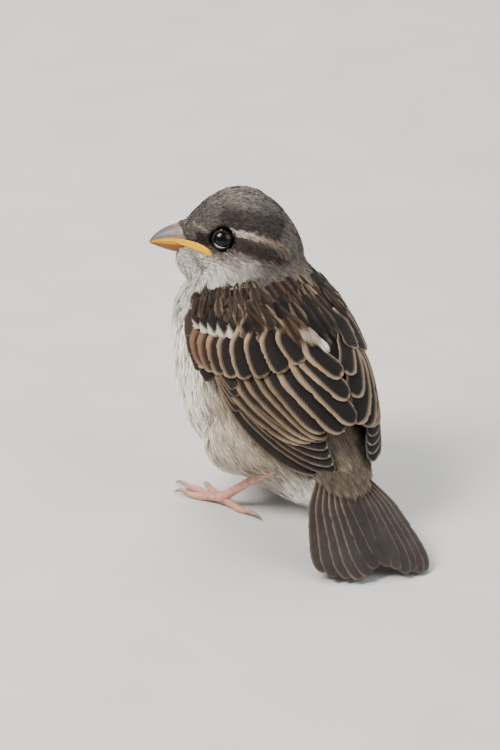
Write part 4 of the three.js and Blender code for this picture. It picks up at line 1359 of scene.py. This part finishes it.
def make_leg(name, side, ankle, foot, turn):
    """The bare shank, the toes with the ball between them, and the claws."""
    ankle, foot = np.array(ankle, float), np.array(foot, float)
    shank = [mix(ankle, foot, t) for t in (-0.04, 0.08, 0.3, 0.6, 0.88, 1.02)]
    shank = rod(shank, SHANK_RADII, scaled_colour(11), 24, 150, relief=scutes(11, 0.09))
    join_rods(f"shank_{name}", [shank], leg_material, "leg_skin", f"tarsus_{name}")
    toes, claws = zip(*(make_toe(foot, -side * (math.radians(turn) + math.radians(spread)), *sizes)
                        for spread, *sizes in TOES.values()))
    ball = [foot + (0, y, -0.2) for y in (-1.4, -0.5, 0.6, 1.6)]
    ball = rod(ball, BALL_RADII, LEG_PINK, 20, 30, flat=0.85)
    join_rods(f"toes_{name}", [*toes, ball], leg_material, "leg_skin", f"foot_{name}")
    for toe, claw in zip(TOES, claws):
        join_rods(f"nail_{name}_{toe}", [claw], horn_material, "claw_horn", f"claw_{name}_{toe}")


for name, leg in LEGS.items():
    make_leg(name, **leg)


# ---- Floor, light and camera ----
CAMERA_AZIMUTH, CAMERA_ELEVATION, CAMERA_DISTANCE = -38, 20, 1500
CAMERA_TARGET = (0, 5.26, 28.4)
PIXELS_PER_MM, LONG_SIDE, SENSOR = 4.1, 750, 36
LIGHT_TARGET = (0, 0, 40)
LIGHTS = {  # azimuth, elevation, distance and size in metres, power, colour
    "key": (-95, 48, 0.9, 0.45, 15, (1.0, 0.96, 0.9)),
    "fill": (20, 30, 1.1, 0.8, 6.5, (0.92, 0.96, 1.0)),
    "rim": (150, 50, 1.0, 0.5, 11, (1.0, 0.97, 0.93)),
}
FLOOR_HALF = 3.0
FLOOR_COLOURS = (0.52, 0.51, 0.495, 1), (0.56, 0.55, 0.535, 1)
SKY, SKY_STRENGTH = (0.80, 0.84, 0.9, 1), 0.5


def aim(obj, target, azimuth, elevation, distance):
    """Puts a camera or light at a distance from a place, facing it."""
    a, e = math.radians(azimuth), math.radians(elevation)
    back = Vector((math.sin(a) * math.cos(e), -math.cos(a) * math.cos(e), math.sin(e)))
    obj.location = Vector(place(target)) + back * distance
    obj.rotation_euler = (-back).to_track_quat("-Z", "Y").to_euler()


def make_camera():
    camera = link("camera", bpy.data.cameras.new("camera"))
    aim(camera, CAMERA_TARGET, CAMERA_AZIMUTH, CAMERA_ELEVATION, CAMERA_DISTANCE * MM)
    camera.data.lens = SENSOR * PIXELS_PER_MM * CAMERA_DISTANCE / LONG_SIDE
    camera.data.sensor_width = SENSOR
    camera.data.clip_start = 0.05
    bpy.context.scene.camera = camera


def make_light(name, azimuth, elevation, distance, size, power, colour):
    light = link(name, bpy.data.lights.new(name, "AREA"))
    light.data.size = size
    light.data.energy = power
    light.data.color = colour
    aim(light, LIGHT_TARGET, azimuth, elevation, distance)


def make_floor():
    mesh = bpy.data.meshes.new("floor")
    corners = [(x * FLOOR_HALF, y * FLOOR_HALF, 0) for x, y in ((-1, -1), (1, -1), (1, 1), (-1, 1))]
    mesh.from_pydata(corners, [], [(0, 1, 2, 3)])
    s = Shader("floor", Roughness=0.9, Specular_IOR_Level=0.1)
    s.link(s.blend(s.ramp(s.noise(30, 2.0), 0.3, 0.7), *FLOOR_COLOURS), "Base Color")
    mesh.materials.append(s.material)
    link("floor", mesh)


def make_world():
    world = bpy.data.worlds.new("studio")
    bpy.context.scene.world = world
    world.use_nodes = True
    background = world.node_tree.nodes["Background"]
    background.inputs["Color"].default_value = SKY
    background.inputs["Strength"].default_value = SKY_STRENGTH


make_camera()
for name, light in LIGHTS.items():
    make_light(name, *light)
make_floor()
make_world()
